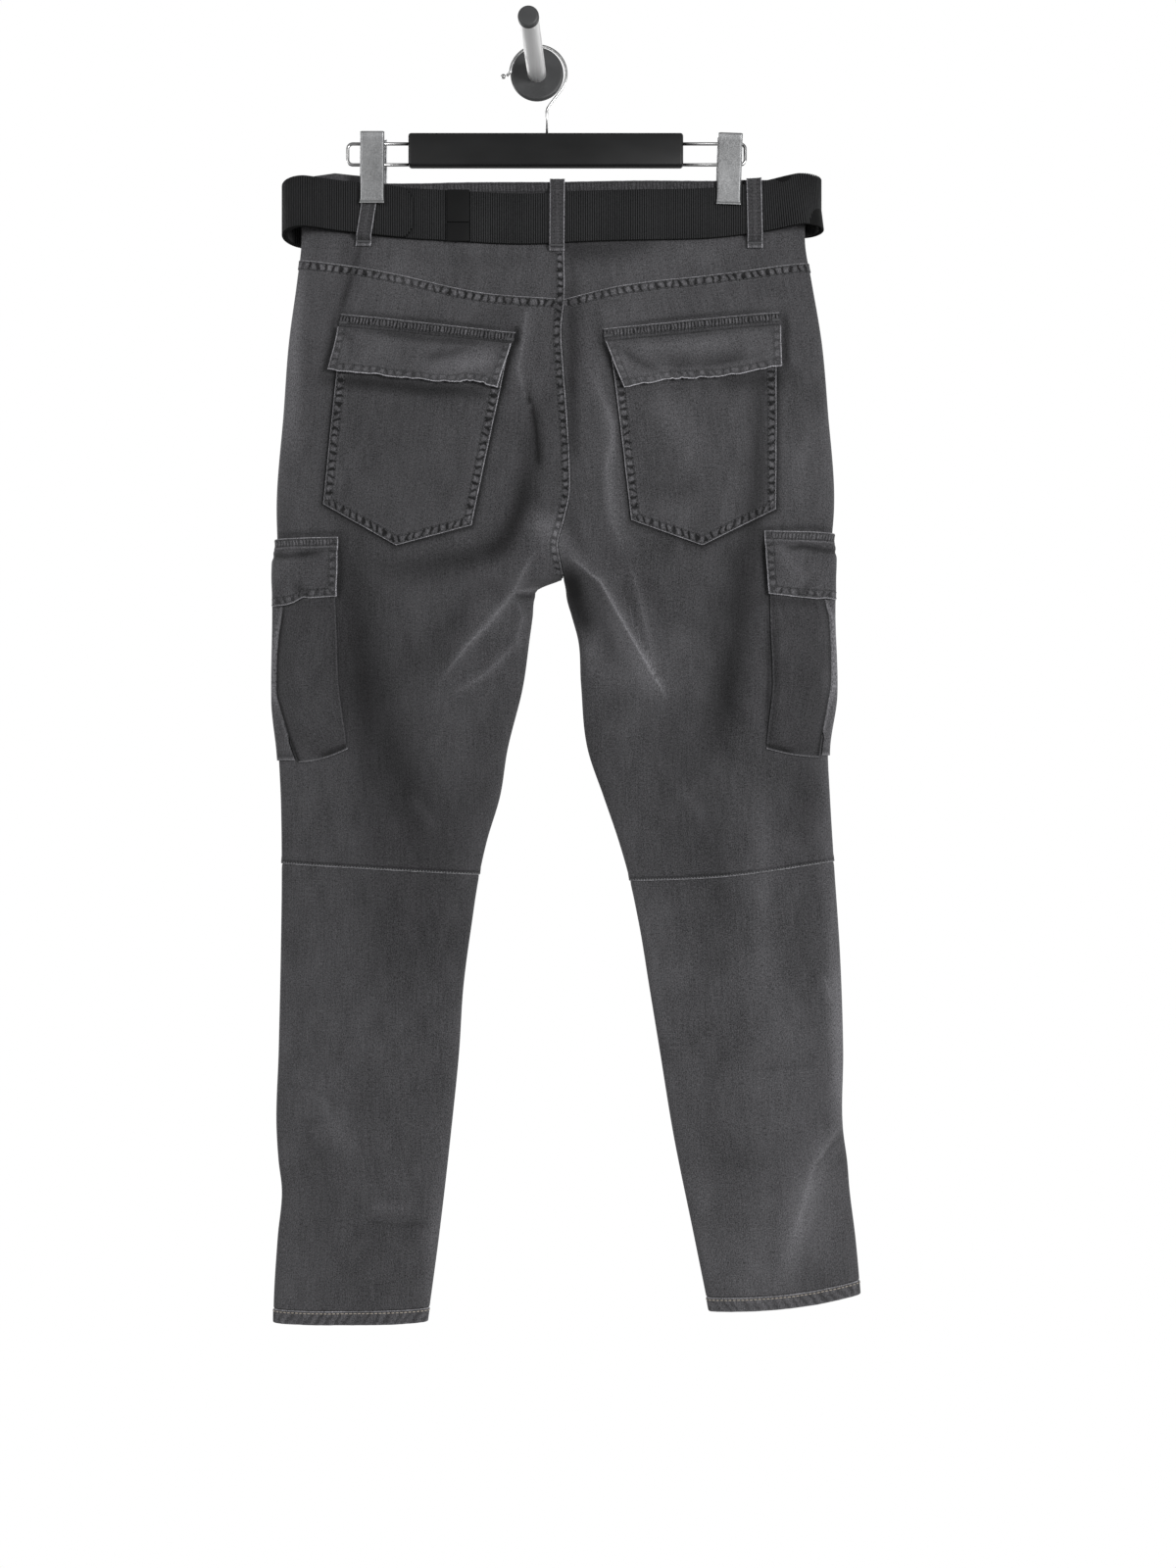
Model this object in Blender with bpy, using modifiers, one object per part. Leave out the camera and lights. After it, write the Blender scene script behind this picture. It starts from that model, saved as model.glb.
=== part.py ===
"""Cargo jeans with a webbing belt, clipped by the waist to a hanger on a wall peg.

The origin is the centre of the peg's back face, on the wall plane y = 0. +Z is up, and the garment
hangs in front of the wall with its back towards -Y. Left and right are the wearer's, so left is -X.
The tables are in millimetres in the garment's own directions: x to the right of the centre back
seam, drop downwards from the waist, and depth outwards from the hanger's plane.
"""
import math
from collections import namedtuple

import bmesh
import bpy
import numpy as np

MM = 0.001

# Where the garment hangs, in millimetres from the origin
CENTRE_X = 27.2
HANGER_Y = -50.0
WAIST_Z = -120.0

# Cloth and webbing
SEAM = 0.3
PANEL_WALL = 1.6
POCKET_WALL = 1.5
HEM_WALL = 3.0
HEM_HEIGHT = 14.4
HEM_GAP = 0.6
HEM_LIFT = 0.4
WAIST_SEAM = 44.0
CROTCH = 392.0
CROTCH_RISE = 120.0
BACK_COLUMNS = 16
FRONT_COLUMNS = 10

# The outline of the garment: half widths from the centre to the side seams, and half the thickness
Section = namedtuple("Section", "drop left right depth")
SECTIONS = (
    Section(-10, 260, 240, 14.5),
    Section(0, 260, 240, 14.5),
    Section(66, 257, 237, 14.5),
    Section(100, 261, 243, 17),
    Section(160, 269, 253, 22),
    Section(227, 274, 259, 26),
    Section(323, 281, 265, 27),
    Section(362, 280, 262, 26),
    Section(419, 279, 260, 24),
    Section(500, 280, 262, 22.5),
    Section(560, 279, 259, 21),
    Section(604, 277, 261, 20),
    Section(670, 276, 265, 19),
    Section(761, 277, 271, 18),
    Section(852, 279, 274, 18),
    Section(932, 281, 274, 17),
    Section(962, 279, 278, 16),
    Section(987, 276, 280, 16),
    Section(1036, 280, 286, 16),
    Section(1108, 284, 292, 15),
    Section(1125, 284, 293, 15),
)

# The inner edges of the two legs, out from the centre
Inseam = namedtuple("Inseam", "drop left right")
INSEAMS = (
    Inseam(CROTCH, 0, 0),
    Inseam(396, 12, 1),
    Inseam(401, 24, 2),
    Inseam(410, 28, 3),
    Inseam(428, 30, 8),
    Inseam(450, 33, 14),
    Inseam(494, 39, 17),
    Inseam(560, 55, 24),
    Inseam(604, 62, 39),
    Inseam(648, 75, 54),
    Inseam(679, 82, 63),
    Inseam(730, 90, 74),
    Inseam(791, 98, 84),
    Inseam(852, 102, 94),
    Inseam(932, 110, 107),
    Inseam(1036, 122, 128),
    Inseam(1125, 134, 146),
)

# Seams that cross the panels: the drop at shares of the way from the side seam to the inner edge
YOKE_SEAM = {-1: ((0, 0.27, 0.71, 1), (85, 95, 121, 127)), 1: ((0, 0.45, 0.8, 1), (88, 103, 115, 127))}
KNEE_SEAM = {-1: ((0, 1), (670, 681)), 1: ((0, 0.57, 1), (668, 683, 687))}
HEM_EDGE = {-1: ((0, 1), (1119, 1118)), 1: ((0, 0.41, 1), (1091, 1101, 1108))}

# The waist's top edge, by x
BACK_TOP = ((-264, -174, -130, -7, 101, 176, 244), (4, 5, 6.4, 6.4, 4, 1.6, 3))
FRONT_TOP = ((-264, -245, -225, -200, -175, 244), (0, -5, -8, -5, 5, 5))

# The two clips pinch the waist flat
CLIP_X = (-186.0, 162.0)
PINCH = 9.5
PINCH_WIDTH = 60.0
PINCH_ENDS = (66.0, 160.0)

# Ridges and troughs of the hanging cloth: path as (x, drop), height and half width
Fold = namedtuple("Fold", "face height width path")
BACK, FRONT = 1, -1
FOLDS = (
    Fold(BACK, 2.5, 15, ((-36, 138), (-42, 187), (-35, 222))),
    Fold(BACK, -2.5, 12, ((-29, 227), (-23, 283), (-25, 333))),
    Fold(BACK, 5.5, 15, ((-18, 370), (-48, 409), (-91, 458), (-124, 495))),
    Fold(BACK, -3.5, 13, ((-22, 400), (-58, 442), (-98, 484))),
    Fold(BACK, 3.5, 14, ((-34, 441), (-76, 485), (-110, 505))),
    Fold(BACK, -2.5, 20, ((-192, 428), (-192, 559))),
    Fold(BACK, 3.0, 15, ((20, 177), (49, 246), (45, 288), (66, 384))),
    Fold(BACK, 7.0, 13, ((8, 376), (33, 394), (52, 433), (69, 466), (96, 496))),
    Fold(BACK, -4.0, 15, ((16, 402), (30, 440), (40, 480))),
    Fold(BACK, -3.0, 20, ((154, 438), (154, 553))),
    Fold(BACK, 4.0, 14, ((268, 924), (250, 951), (234, 998), (220, 1048), (202, 1071))),
    Fold(BACK, -3.0, 12, ((272, 985), (258, 1033), (240, 1065))),
    Fold(BACK, 2.0, 12, ((-266, 886), (-238, 892), (-214, 911))),
    Fold(BACK, -2.0, 11, ((-195, 1021), (-160, 1025), (-130, 1024))),
    Fold(FRONT, 5.0, 15, ((-14, 372), (-50, 400), (-100, 432), (-150, 446))),
    Fold(FRONT, -3.0, 13, ((-24, 350), (-70, 366), (-130, 380))),
    Fold(FRONT, 5.0, 15, ((14, 372), (46, 404), (92, 440), (140, 458))),
    Fold(FRONT, -3.0, 13, ((22, 348), (64, 368), (120, 386))),
    Fold(FRONT, 3.0, 16, ((-236, 640), (-180, 655), (-120, 650))),
    Fold(FRONT, 3.0, 16, ((96, 660), (160, 668), (226, 655))),
    Fold(FRONT, -3.0, 18, ((-200, 900), (-196, 1020))),
    Fold(FRONT, -3.0, 18, ((206, 880), (212, 1010))),
)

# Belt webbing: its centre line's drop by x on the back and on the front
BELT_WIDTH = 49.4
BELT_WALL = 2.4
BELT_GAP = 1.3
BELT_TURN = 20.0
BELT_ENDS = (-251.6, 231.2)
BELT_FLARE = 6.0
BELT_FLARE_FROM = 206.0
BELT_SLANT = 0.13
BELT_SLANT_FROM = 170.0
BELT_BACK = ((-256, -206, -130, -21, 5, 139, 235), (27, 30, 38, 43, 41.5, 35.5, 24))
BELT_FRONT = ((-256, -130, 0, 100, 235), (37, 40, 40, 36, 27))
TAIL_END = -147.2
TAIL_CORNER = 9.0
BUCKLE_HALF = 25.0
BUCKLE_WALL = 5.0
BUCKLE_OUT = 3.0
BUCKLE_SHORTER = 2.0
KEEPER_X = (-112.8, -91.0)
KEEPER_WALL = 1.4
KEEPER_GAP = 0.7
KEEPER_TALLER = 1.0
BELT_STEPS = (13, 9, 30, 9, 13)

# Hanger
BAR_X = (-151.7, 117.1)
BAR_DROPS = (-44.6, -12.0)
BAR_DEPTH = 12.0
RAIL_DROPS = (-35.0, -14.5)
RAIL_ENDS = (-211.4, 177.9)
RAIL_RADIUS = 1.6
RAIL_CORNER = 5.0
CLIP_WIDTH = 24.0
CLIP_DROPS = (-43.2, 27.6)
CLIP_WALL = 1.4
CLIP_LEAN_DEG = 2.9
CLIP_TILT_DEG = (0.0, 2.1)
CLIP_JAW = (16.2, 11.3)
PIVOT_RADIUS = 5.4
HOOK_WIRE = 1.3
HOOK_CENTRE = (2.5, -16.3)
HOOK_RADIUS = 27.4
HOOK_TIP = (-31.4, -18.9)
HOOK_TIP_RADIUS = 2.4
# The hook's wire from its tip round to the stem on the bar
HOOK_START = (-28.2, -18.3)
HOOK_ARC_DEG = (176, -38)
HOOK_NECK = (13.6, -47.0)
HOOK_STEM = (10.8, -53.0)

# Wall peg
FLANGE_RADIUS = 26.6
FLANGE_DEPTH = 6.0
ROD_RADIUS = 9.3
ROD_GAP = 0.6
ROD_LENGTH = 143.0
ROD_LEAN_DEG = 1.6
CAP_RADIUS = 9.9
CAP_LENGTH = 7.0


# ---------------------------------------------------------------- the hanging cloth's surface


def along(knots, values, at):
    """A smooth curve through a table's values, flat outside it."""
    knots, values = np.asarray(knots, float), np.asarray(values, float)
    slopes = np.gradient(values, knots)
    at = np.clip(at, knots[0], knots[-1])
    i = np.clip(np.searchsorted(knots, at) - 1, 0, len(knots) - 2)
    step = knots[i + 1] - knots[i]
    t = (at - knots[i]) / step
    ends = (1 + 2 * t) * (1 - t) ** 2 * values[i] + t * t * (3 - 2 * t) * values[i + 1]
    return ends + t * (1 - t) * step * ((1 - t) * slopes[i] - t * slopes[i + 1])


def column(rows, name):
    """One named column of a table."""
    return [getattr(row, name) for row in rows]


def ease(t):
    """0 to 1, level at both ends."""
    t = np.clip(t, 0, 1)
    return t * t * (3 - 2 * t)


def side_width(side, drop):
    """How far the side seam is from the centre."""
    return along(column(SECTIONS, "drop"), column(SECTIONS, "left" if side < 0 else "right"), drop)


def inner_width(side, drop):
    """How far a half's inner edge is from the centre: half a seam's gap down to the crotch."""
    out = along(column(INSEAMS, "drop"), column(INSEAMS, "left" if side < 0 else "right"), drop)
    return np.maximum(out, SEAM / 2)


def pinched(x, drop):
    """How much the clips take off the half thickness."""
    share = sum(np.exp(-(((x - clip) / PINCH_WIDTH) ** 2)) for clip in CLIP_X)
    return PINCH * share * (1 - ease((drop - PINCH_ENDS[0]) / (PINCH_ENDS[1] - PINCH_ENDS[0])))


def relief(x, drop, face):
    """The folds' height on one face, each fading towards its ends."""
    total = np.zeros(np.broadcast(x, drop).shape)
    for fold in FOLDS:
        path = np.array(fold.path, float)
        spans = np.hypot(*np.diff(path, axis=0).T)
        starts = np.concatenate(([0], np.cumsum(spans)))
        near = np.full(total.shape, np.inf)
        share = np.zeros(total.shape)
        for k, span in enumerate(spans):
            way = (path[k + 1] - path[k]) / span
            t = np.clip((x - path[k][0]) * way[0] + (drop - path[k][1]) * way[1], 0, span)
            gap = np.hypot(x - path[k][0] - t * way[0], drop - path[k][1] - t * way[1])
            share = np.where(gap < near, (starts[k] + t) / starts[-1], share)
            near = np.minimum(gap, near)
        taper = ease(share / 0.3) * ease((1 - share) / 0.3)
        total += np.where(face == fold.face, fold.height * taper * np.exp(-((near / fold.width) ** 2)), 0)
    return total


def rounding(t):
    """The cloth's turn into an edge: 0 at the edge, 1 where it is flat."""
    return np.sqrt(1 - (1 - np.clip(t, 0, 1)) ** 2.5)


def bare(side, turn, drop):
    """A point of the outer face. turn is 0 on the side seam, 1 or -1 on the back's or front's inner edge."""
    share = (1 - np.cos(np.pi * np.abs(turn))) / 2
    outer, inner = side_width(side, drop), inner_width(side, drop)
    x = side * (outer + (inner - outer) * share)
    face = np.where(turn >= 0, BACK, FRONT)
    climb = np.clip((CROTCH - drop) / CROTCH_RISE, 0, 1)
    joined = 1 - (1 - climb) ** 2
    depth = along(column(SECTIONS, "drop"), column(SECTIONS, "depth"), drop) - pinched(x, drop)
    depth = depth * rounding(2 * share) * np.sqrt(joined + (1 - joined) * rounding(2 - 2 * share) ** 2)
    joined = np.sqrt(joined)
    fade = ease(share / 0.06) * (joined + (1 - joined) * ease((1 - share) / 0.06))
    return np.stack((x, -face * (SEAM / 2 + depth + relief(x, drop, face) * fade), -drop + 0 * x), -1)


def skin(side, turn, drop, lift=0.0):
    """Points on the cloth, moved out along its own direction, in metres."""
    turn, drop = np.broadcast_arrays(np.asarray(turn, float), np.asarray(drop, float))
    step = 0.004
    across = bare(side, np.minimum(turn + step, 1), drop) - bare(side, np.maximum(turn - step, -1), drop)
    down = bare(side, turn, drop + 0.5) - bare(side, turn, drop - 0.5)
    outward = side * np.cross(across, down)
    outward /= np.linalg.norm(outward, axis=-1, keepdims=True)
    return placed(bare(side, turn, drop) + outward * np.asarray(lift)[..., None])


def placed(points):
    """From the garment's millimetres to metres from the origin."""
    return (np.asarray(points, float) + (CENTRE_X, HANGER_Y, WAIST_Z)) * MM


def turn_at(side, x, drop):
    """The turn whose point on the back has this x."""
    outer, inner = side_width(side, drop), inner_width(side, drop)
    share = np.clip((outer - side * x) / (outer - inner), 0, 1)
    return np.arccos(1 - 2 * share) / np.pi


def on_back(x, drop, lift):
    """Points laid on the back at x, moved out."""
    x, drop = np.broadcast_arrays(np.asarray(x, float), np.asarray(drop, float))
    left = skin(-1, turn_at(-1, x, drop), drop, lift)
    right = skin(1, turn_at(1, x, drop), drop, lift)
    return np.where((x < 0)[..., None], left, right)


def seam_drop(seam, side, turn):
    """The drop of a crossing seam at a turn."""
    return along(*seam[side], (1 - np.cos(np.pi * np.abs(turn))) / 2)


# ---------------------------------------------------------------- making objects


def finish(name, mesh, material, collection):
    """An object of its own, with its material."""
    mesh.materials.append(material)
    part = bpy.data.objects.new(name, mesh)
    collection.objects.link(part)
    return part


def wall(name, columns, rows, place, thickness, material, collection, closed=False):
    """A sheet of cloth with a thickness. place(u, v, depth) gives its points, depth inwards."""
    bm = bmesh.new()
    across, down = bm.verts.layers.float.new("across"), bm.verts.layers.float.new("down")
    bmesh.ops.create_grid(bm, x_segments=columns, y_segments=rows, size=1)
    for vert in bm.verts:
        vert[across], vert[down] = (vert.co.x + 1) / 2, (1 - vert.co.y) / 2

    def set_depth(verts, depth):
        u, v = np.array([vert[across] for vert in verts]), np.array([vert[down] for vert in verts])
        for vert, point in zip(verts, place(u, v, depth)):
            vert.co = point

    set_depth(list(bm.verts), 0)
    if closed:
        bmesh.ops.remove_doubles(bm, verts=bm.verts, dist=0.05 * MM)
    made = bmesh.ops.extrude_face_region(bm, geom=bm.faces[:])
    set_depth([item for item in made["geom"] if isinstance(item, bmesh.types.BMVert)], thickness)
    bmesh.ops.recalc_face_normals(bm, faces=bm.faces)
    mesh = bpy.data.meshes.new(name)
    bm.to_mesh(mesh)
    bm.free()
    mesh.shade_smooth()
    return finish(name, mesh, material, collection)


def add_bevel(part, width, segments=1):
    bevel = part.modifiers.new("bevel", "BEVEL")
    bevel.width = width * MM
    bevel.segments = segments
    bevel.limit_method = "ANGLE"
    return part


def block(name, size, centre, material, collection, bevel=0.0):
    """A box, its size and place in the garment's millimetres."""
    bm = bmesh.new()
    bmesh.ops.create_cube(bm, size=1)
    bmesh.ops.scale(bm, vec=[length * MM for length in size], verts=bm.verts)
    mesh = bpy.data.meshes.new(name)
    bm.to_mesh(mesh)
    bm.free()
    part = finish(name, mesh, material, collection)
    part.location = placed(centre)
    return add_bevel(part, bevel) if bevel else part


def cylinder(name, radius, length, centre, rotation, material, collection, bevel=0.0, segments=28):
    """A closed cylinder. rotation turns it from +Z, and centre is in metres."""
    bm = bmesh.new()
    bmesh.ops.create_cone(
        bm, cap_ends=True, segments=segments, radius1=radius * MM, radius2=radius * MM, depth=length * MM
    )
    mesh = bpy.data.meshes.new(name)
    bm.to_mesh(mesh)
    bm.free()
    mesh.shade_smooth()
    mesh.set_sharp_from_angle(angle=math.radians(40))
    part = finish(name, mesh, material, collection)
    part.location = centre
    part.rotation_euler = rotation
    return add_bevel(part, bevel) if bevel else part


def wire(name, points, radius, material, collection):
    """A round wire through points in metres."""
    curve = bpy.data.curves.new(name, "CURVE")
    curve.dimensions = "3D"
    curve.bevel_depth = radius * MM
    curve.bevel_resolution = 1
    curve.use_fill_caps = True
    spline = curve.splines.new("POLY")
    spline.points.add(len(points) - 1)
    for knot, point in zip(spline.points, points):
        knot.co = (*point, 1)
    return finish(name, curve, material, collection)


def material(name, colour, roughness, metallic=0.0):
    made = bpy.data.materials.new(name)
    made.use_nodes = True
    shader = made.node_tree.nodes["Principled BSDF"]
    shader.inputs["Base Color"].default_value = (*colour, 1)
    shader.inputs["Roughness"].default_value = roughness
    shader.inputs["Metallic"].default_value = metallic
    made.diffuse_color = (*colour, 1)
    return made


# ---------------------------------------------------------------- the garment's panels

SIDES = {"left": -1, "right": 1}


def both_halves(turns, u):
    """Side and turn at a share of the way across the whole back or front, from left to right."""
    side = np.where(u <= 0.5, -1, 1)
    return side, turns * np.where(u <= 0.5, 2 * u, 2 - 2 * u)


def waistband(name, face, top, columns, denim, collection):
    def place(u, v, depth):
        side, turn = both_halves(face, u)
        turn = np.where(turn == 0, face * 1e-6, turn)
        result = np.zeros((len(u), 3))
        for sign in (-1, 1):
            mine = side == sign
            x = bare(sign, turn[mine], np.zeros(mine.sum()))[:, 0]
            start = np.interp(x, *top)
            drop = start + (WAIST_SEAM - SEAM / 2 - start) * v[mine]
            result[mine] = skin(sign, turn[mine], drop, -depth)
        return result

    wall(name, 2 * columns, 2, place, PANEL_WALL, denim, collection)


def panel(name, side, face, columns, rows, upper, lower, denim, collection):
    """A leg panel from one crossing seam to another. upper and lower give the drop at a turn."""

    def place(u, v, depth):
        turn = np.where(u == 0, face * 1e-6, face * u)
        start, end = upper(turn) + SEAM / 2, lower(turn) - SEAM / 2
        return skin(side, turn, start + (end - start) * v, -depth)

    wall(name, columns, rows, place, PANEL_WALL, denim, collection)


def panels(denim, collection):
    waistband("waistband_back", BACK, BACK_TOP, BACK_COLUMNS, denim, collection)
    waistband("waistband_front", FRONT, FRONT_TOP, FRONT_COLUMNS, denim, collection)
    for word, side in SIDES.items():

        def waist(turn):
            return np.full(turn.shape, WAIST_SEAM)

        def yoke(turn, side=side):
            return seam_drop(YOKE_SEAM, side, turn)

        def knee(turn, side=side):
            return seam_drop(KNEE_SEAM, side, turn)

        def hem_top(turn, side=side):
            return seam_drop(HEM_EDGE, side, turn) - HEM_HEIGHT

        panel(f"yoke_{word}", side, BACK, BACK_COLUMNS, 3, waist, yoke, denim, collection)
        panel(f"back_upper_{word}", side, BACK, BACK_COLUMNS, 24, yoke, knee, denim, collection)
        panel(f"back_lower_{word}", side, BACK, BACK_COLUMNS, 12, knee, hem_top, denim, collection)
        panel(f"front_upper_{word}", side, FRONT, FRONT_COLUMNS, 14, waist, knee, denim, collection)
        panel(f"front_lower_{word}", side, FRONT, FRONT_COLUMNS, 10, knee, hem_top, denim, collection)


def hems(denim, collection):
    for word, side in SIDES.items():

        def place(u, v, depth, side=side):
            turn = np.clip(2 * u - 1, -1, 1)
            end = seam_drop(HEM_EDGE, side, turn)
            points = skin(side, turn, end - (HEM_HEIGHT - HEM_GAP) * (1 - v), HEM_LIFT - depth)
            closing = np.abs(turn) == 1
            points[closing, 1] = HANGER_Y * MM
            return points

        wall(f"hem_{word}", 24, 1, place, HEM_WALL, denim, collection, closed=True)


# ---------------------------------------------------------------- back pockets

# Corners as (x, drop). edge lists the flap's lower edge, stand how far it stands off there
Pocket = namedtuple("Pocket", "strip flap_top edge stand patch_top patch_bottom")
BACK_POCKETS = {
    "left": Pocket(
        strip=((-215.5, 136), (-46, 155.5), (-217.5, 149), (-48, 166.5)),
        flap_top=((-217.5, 149.5), (-49, 167)),
        edge=((-226.5, 192), (-161.5, 200.5), (-108.5, 205.5), (-87, 204), (-63.5, 211)),
        stand=(4, 5, 4.5, 7, 5),
        patch_top=((-215.5, 156.5), (-53, 174)),
        patch_bottom=((-232, 321), (-161.5, 361.5), (-88.5, 342)),
    ),
    "right": Pocket(
        strip=((39, 151.5), (209.5, 134), (40, 164.5), (209.5, 147.5)),
        flap_top=((41, 165), (210, 148)),
        edge=((58.5, 211), (102.5, 203), (123, 202), (154.5, 200), (210.5, 188)),
        stand=(5, 7, 5, 5, 4),
        patch_top=((46, 172), (206.5, 155.5)),
        patch_bottom=((65.5, 337), (134.5, 361.5), (205.5, 326)),
    ),
}
POCKET_REST = 1.0
PATCH_PUFF = 0.8
FLAP_REST = 3.9
FLAP_TUCK = 2.0


def spread(points, share):
    """Points at shares of the way along a run of equally weighted corners."""
    points = np.array(points, float)
    knots = np.linspace(0, 1, len(points))
    return np.stack([np.interp(share, knots, points[:, k]) for k in range(points.shape[1])], -1)


def between(start, end, v):
    return start + (end - start) * np.asarray(v)[..., None]


def back_pockets(denim, collection):
    for word, pocket in BACK_POCKETS.items():

        def patch(u, v, depth, pocket=pocket):
            spot = between(spread(pocket.patch_top, u), spread(pocket.patch_bottom, u), v)
            puff = PATCH_PUFF * np.sin(np.pi * u) * np.sin(np.pi * v)
            return on_back(spot[:, 0], spot[:, 1], POCKET_REST + POCKET_WALL + puff - depth)

        def strip(u, v, depth, pocket=pocket):
            spot = between(spread(pocket.strip[:2], u), spread(pocket.strip[2:], u), v)
            return on_back(spot[:, 0], spot[:, 1], POCKET_REST + POCKET_WALL - depth)

        def flap(u, v, depth, pocket=pocket):
            spot = between(spread(pocket.flap_top, u), spread(pocket.edge, u), v)
            stand = np.interp(u, np.linspace(0, 1, len(pocket.stand)), pocket.stand) - FLAP_TUCK
            lift = FLAP_REST + POCKET_WALL + stand * v**2
            return on_back(spot[:, 0], spot[:, 1], lift - depth)

        wall(f"back_pocket_{word}", 8, 8, patch, POCKET_WALL, denim, collection)
        wall(f"back_flap_strip_{word}", 8, 1, strip, POCKET_WALL, denim, collection)
        wall(f"back_flap_{word}", 8, 3, flap, POCKET_WALL, denim, collection)


# ---------------------------------------------------------------- cargo pockets on the side seams

# pleat: how far the fold of the pleat is from the side, by drop
Cargo = namedtuple("Cargo", "top flap_edge_drops flap_inset body_inset body_end pleat")
CARGOS = {
    "left": Cargo(
        top=353,
        flap_edge_drops=(419, 413),
        flap_inset=((353, 411), (63, 61)),
        body_inset=((405, 495, 552, 560), (58, 62, 69, 71)),
        body_end=(572, 560),
        pleat=((395, 419, 445, 472, 504, 528, 572), (9, 7, 4, 2, 2, 8, 22)),
    ),
    "right": Cargo(
        top=347,
        flap_edge_drops=(412, 409),
        flap_inset=((347, 407), (69, 62)),
        body_inset=((405, 495, 552, 560), (60, 59, 62, 62)),
        body_end=(565, 558),
        pleat=((395, 411, 430, 456, 496, 520, 565), (9, 7, 2, 2, 3, 6, 11)),
    ),
}
CARGO_REST = 0.8
CARGO_STAND = 6.2
CARGO_FLAP_STAND = 4.6
CARGO_STRIP = 12.0
CARGO_FLAP_TOP_SHARE = 0.8
CARGO_START = 28.0
# The body lies flatter under its flap, and its inner side and end come down to the leg
CARGO_FLAT = 0.32
CARGO_FLAT_END = 0.2
CARGO_FULL_RISE = 0.22
CARGO_SIDE_RISE = 0.12
CARGO_END_RISE = 0.08
PLEAT_START = 50.0
PLEAT_SHORT = 2.0
PLEAT_REST = 1.1
PLEAT_WALL = 1.0
# The pleat reaches in under the body, and stops short of its fold near the end
PLEAT_REACH = 6.0
PLEAT_PULL = 9.0
PLEAT_PULL_FROM = 0.78
PLEAT_PULL_RISE = 0.12


def round_side(side, inset, drop, lift):
    """Points round the side seam. inset is how far in from the side, negative on the front."""
    share = np.clip(np.abs(inset) / (side_width(side, drop) - inner_width(side, drop)), 0, 1)
    turn = np.sign(inset) * np.arccos(1 - 2 * share) / np.pi
    return skin(side, np.where(inset < 0, np.minimum(turn, -1e-6), turn), drop, lift)


def cargo_pockets(denim, collection):
    for word, side in SIDES.items():
        cargo = CARGOS[word]

        def body(u, v, depth, side=side, cargo=cargo, face=BACK):
            start = cargo.top + CARGO_START
            end = cargo.body_end[0] + (cargo.body_end[1] - cargo.body_end[0]) * u
            drop = start + (end - start) * v
            outer, inner = np.interp(drop, *cargo.pleat), np.interp(drop, *cargo.body_inset)
            inset = outer + (inner - outer) * u
            full = CARGO_FLAT + (1 - CARGO_FLAT) * ease((v - CARGO_FLAT_END) / CARGO_FULL_RISE)
            stand = CARGO_STAND * full * ease((1 - u) / CARGO_SIDE_RISE) * ease((1 - v) / CARGO_END_RISE)
            return round_side(side, face * inset, drop, CARGO_REST + POCKET_WALL + stand - depth)

        def front_body(u, v, depth, body=body):
            return body(u, v, depth, face=FRONT)

        def under(u, v, depth, side=side, cargo=cargo):
            start = cargo.top + PLEAT_START
            drop = start + (cargo.body_end[0] - PLEAT_SHORT - start) * v
            tuck = PLEAT_REACH - PLEAT_PULL * ease((v - PLEAT_PULL_FROM) / PLEAT_PULL_RISE)
            reach = np.interp(drop, *cargo.pleat) + tuck
            across = 2 * u - 1
            return round_side(side, reach * across * np.abs(across), drop, PLEAT_REST + PLEAT_WALL - depth)

        def flap(u, v, depth, side=side, cargo=cargo):
            across = 2 * u - 1
            start = cargo.top
            end = cargo.flap_edge_drops[0] + np.diff(cargo.flap_edge_drops)[0] * np.abs(across)
            drop = start + (end - start) * v
            reach = np.interp(drop, *cargo.flap_inset)
            below = ease((drop - start - CARGO_STRIP / 2) / CARGO_STRIP)
            stand = CARGO_FLAP_STAND * below * (CARGO_FLAP_TOP_SHARE + (1 - CARGO_FLAP_TOP_SHARE) * v)
            lift = CARGO_REST + POCKET_WALL + stand
            return round_side(side, reach * across * np.abs(across), drop, lift - depth)

        wall(f"cargo_back_{word}", 6, 9, body, POCKET_WALL, denim, collection)
        wall(f"cargo_front_{word}", 5, 7, front_body, POCKET_WALL, denim, collection)
        wall(f"cargo_pleat_{word}", 4, 7, under, PLEAT_WALL, denim, collection)
        wall(f"cargo_flap_{word}", 12, 5, flap, POCKET_WALL, denim, collection)


# ---------------------------------------------------------------- belt and loops


def belt_depth(x):
    """From the hanger's plane to the middle of the webbing."""
    start = along(column(SECTIONS, "drop"), column(SECTIONS, "depth"), 0.0)
    half = (BELT_ENDS[1] - BELT_ENDS[0]) / 2
    from_middle = np.abs(x - sum(BELT_ENDS) / 2)
    flare = BELT_FLARE * ease((from_middle - BELT_FLARE_FROM) / (half - BELT_FLARE_FROM))
    return start - pinched(x, 0.0) + SEAM / 2 + BELT_GAP + BELT_WALL / 2 + flare


def belt_line(way):
    """The webbing's centre line: 0 to 1 front, to 2 right turn, to 3 back, to 4 left turn, to 5 front."""
    low, high = BELT_ENDS
    leg = np.clip(np.floor(way), 0, 4).astype(int)
    t = way - leg
    starts = np.array([BUCKLE_HALF + SEAM, high, high, low, low])
    ends = np.array([high, high, low, low, -BUCKLE_HALF - SEAM])
    run = starts[leg] + (ends[leg] - starts[leg]) * t
    turning = np.isin(leg, (1, 3))
    angle = np.select([leg == 0, leg == 1, leg == 2, leg == 3, leg == 4], [0, t, 1, 1 - t, 0]) * np.pi
    x = run + np.where(turning, BELT_TURN * np.sin(angle) * np.where(leg == 1, 1, -1), 0)
    y = belt_depth(run) * np.cos(angle)
    mix = (1 - np.cos(angle)) / 2
    drop = along(*BELT_FRONT, run) * (1 - mix) + along(*BELT_BACK, run) * mix
    return np.stack((x, y, -drop), -1)


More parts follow.
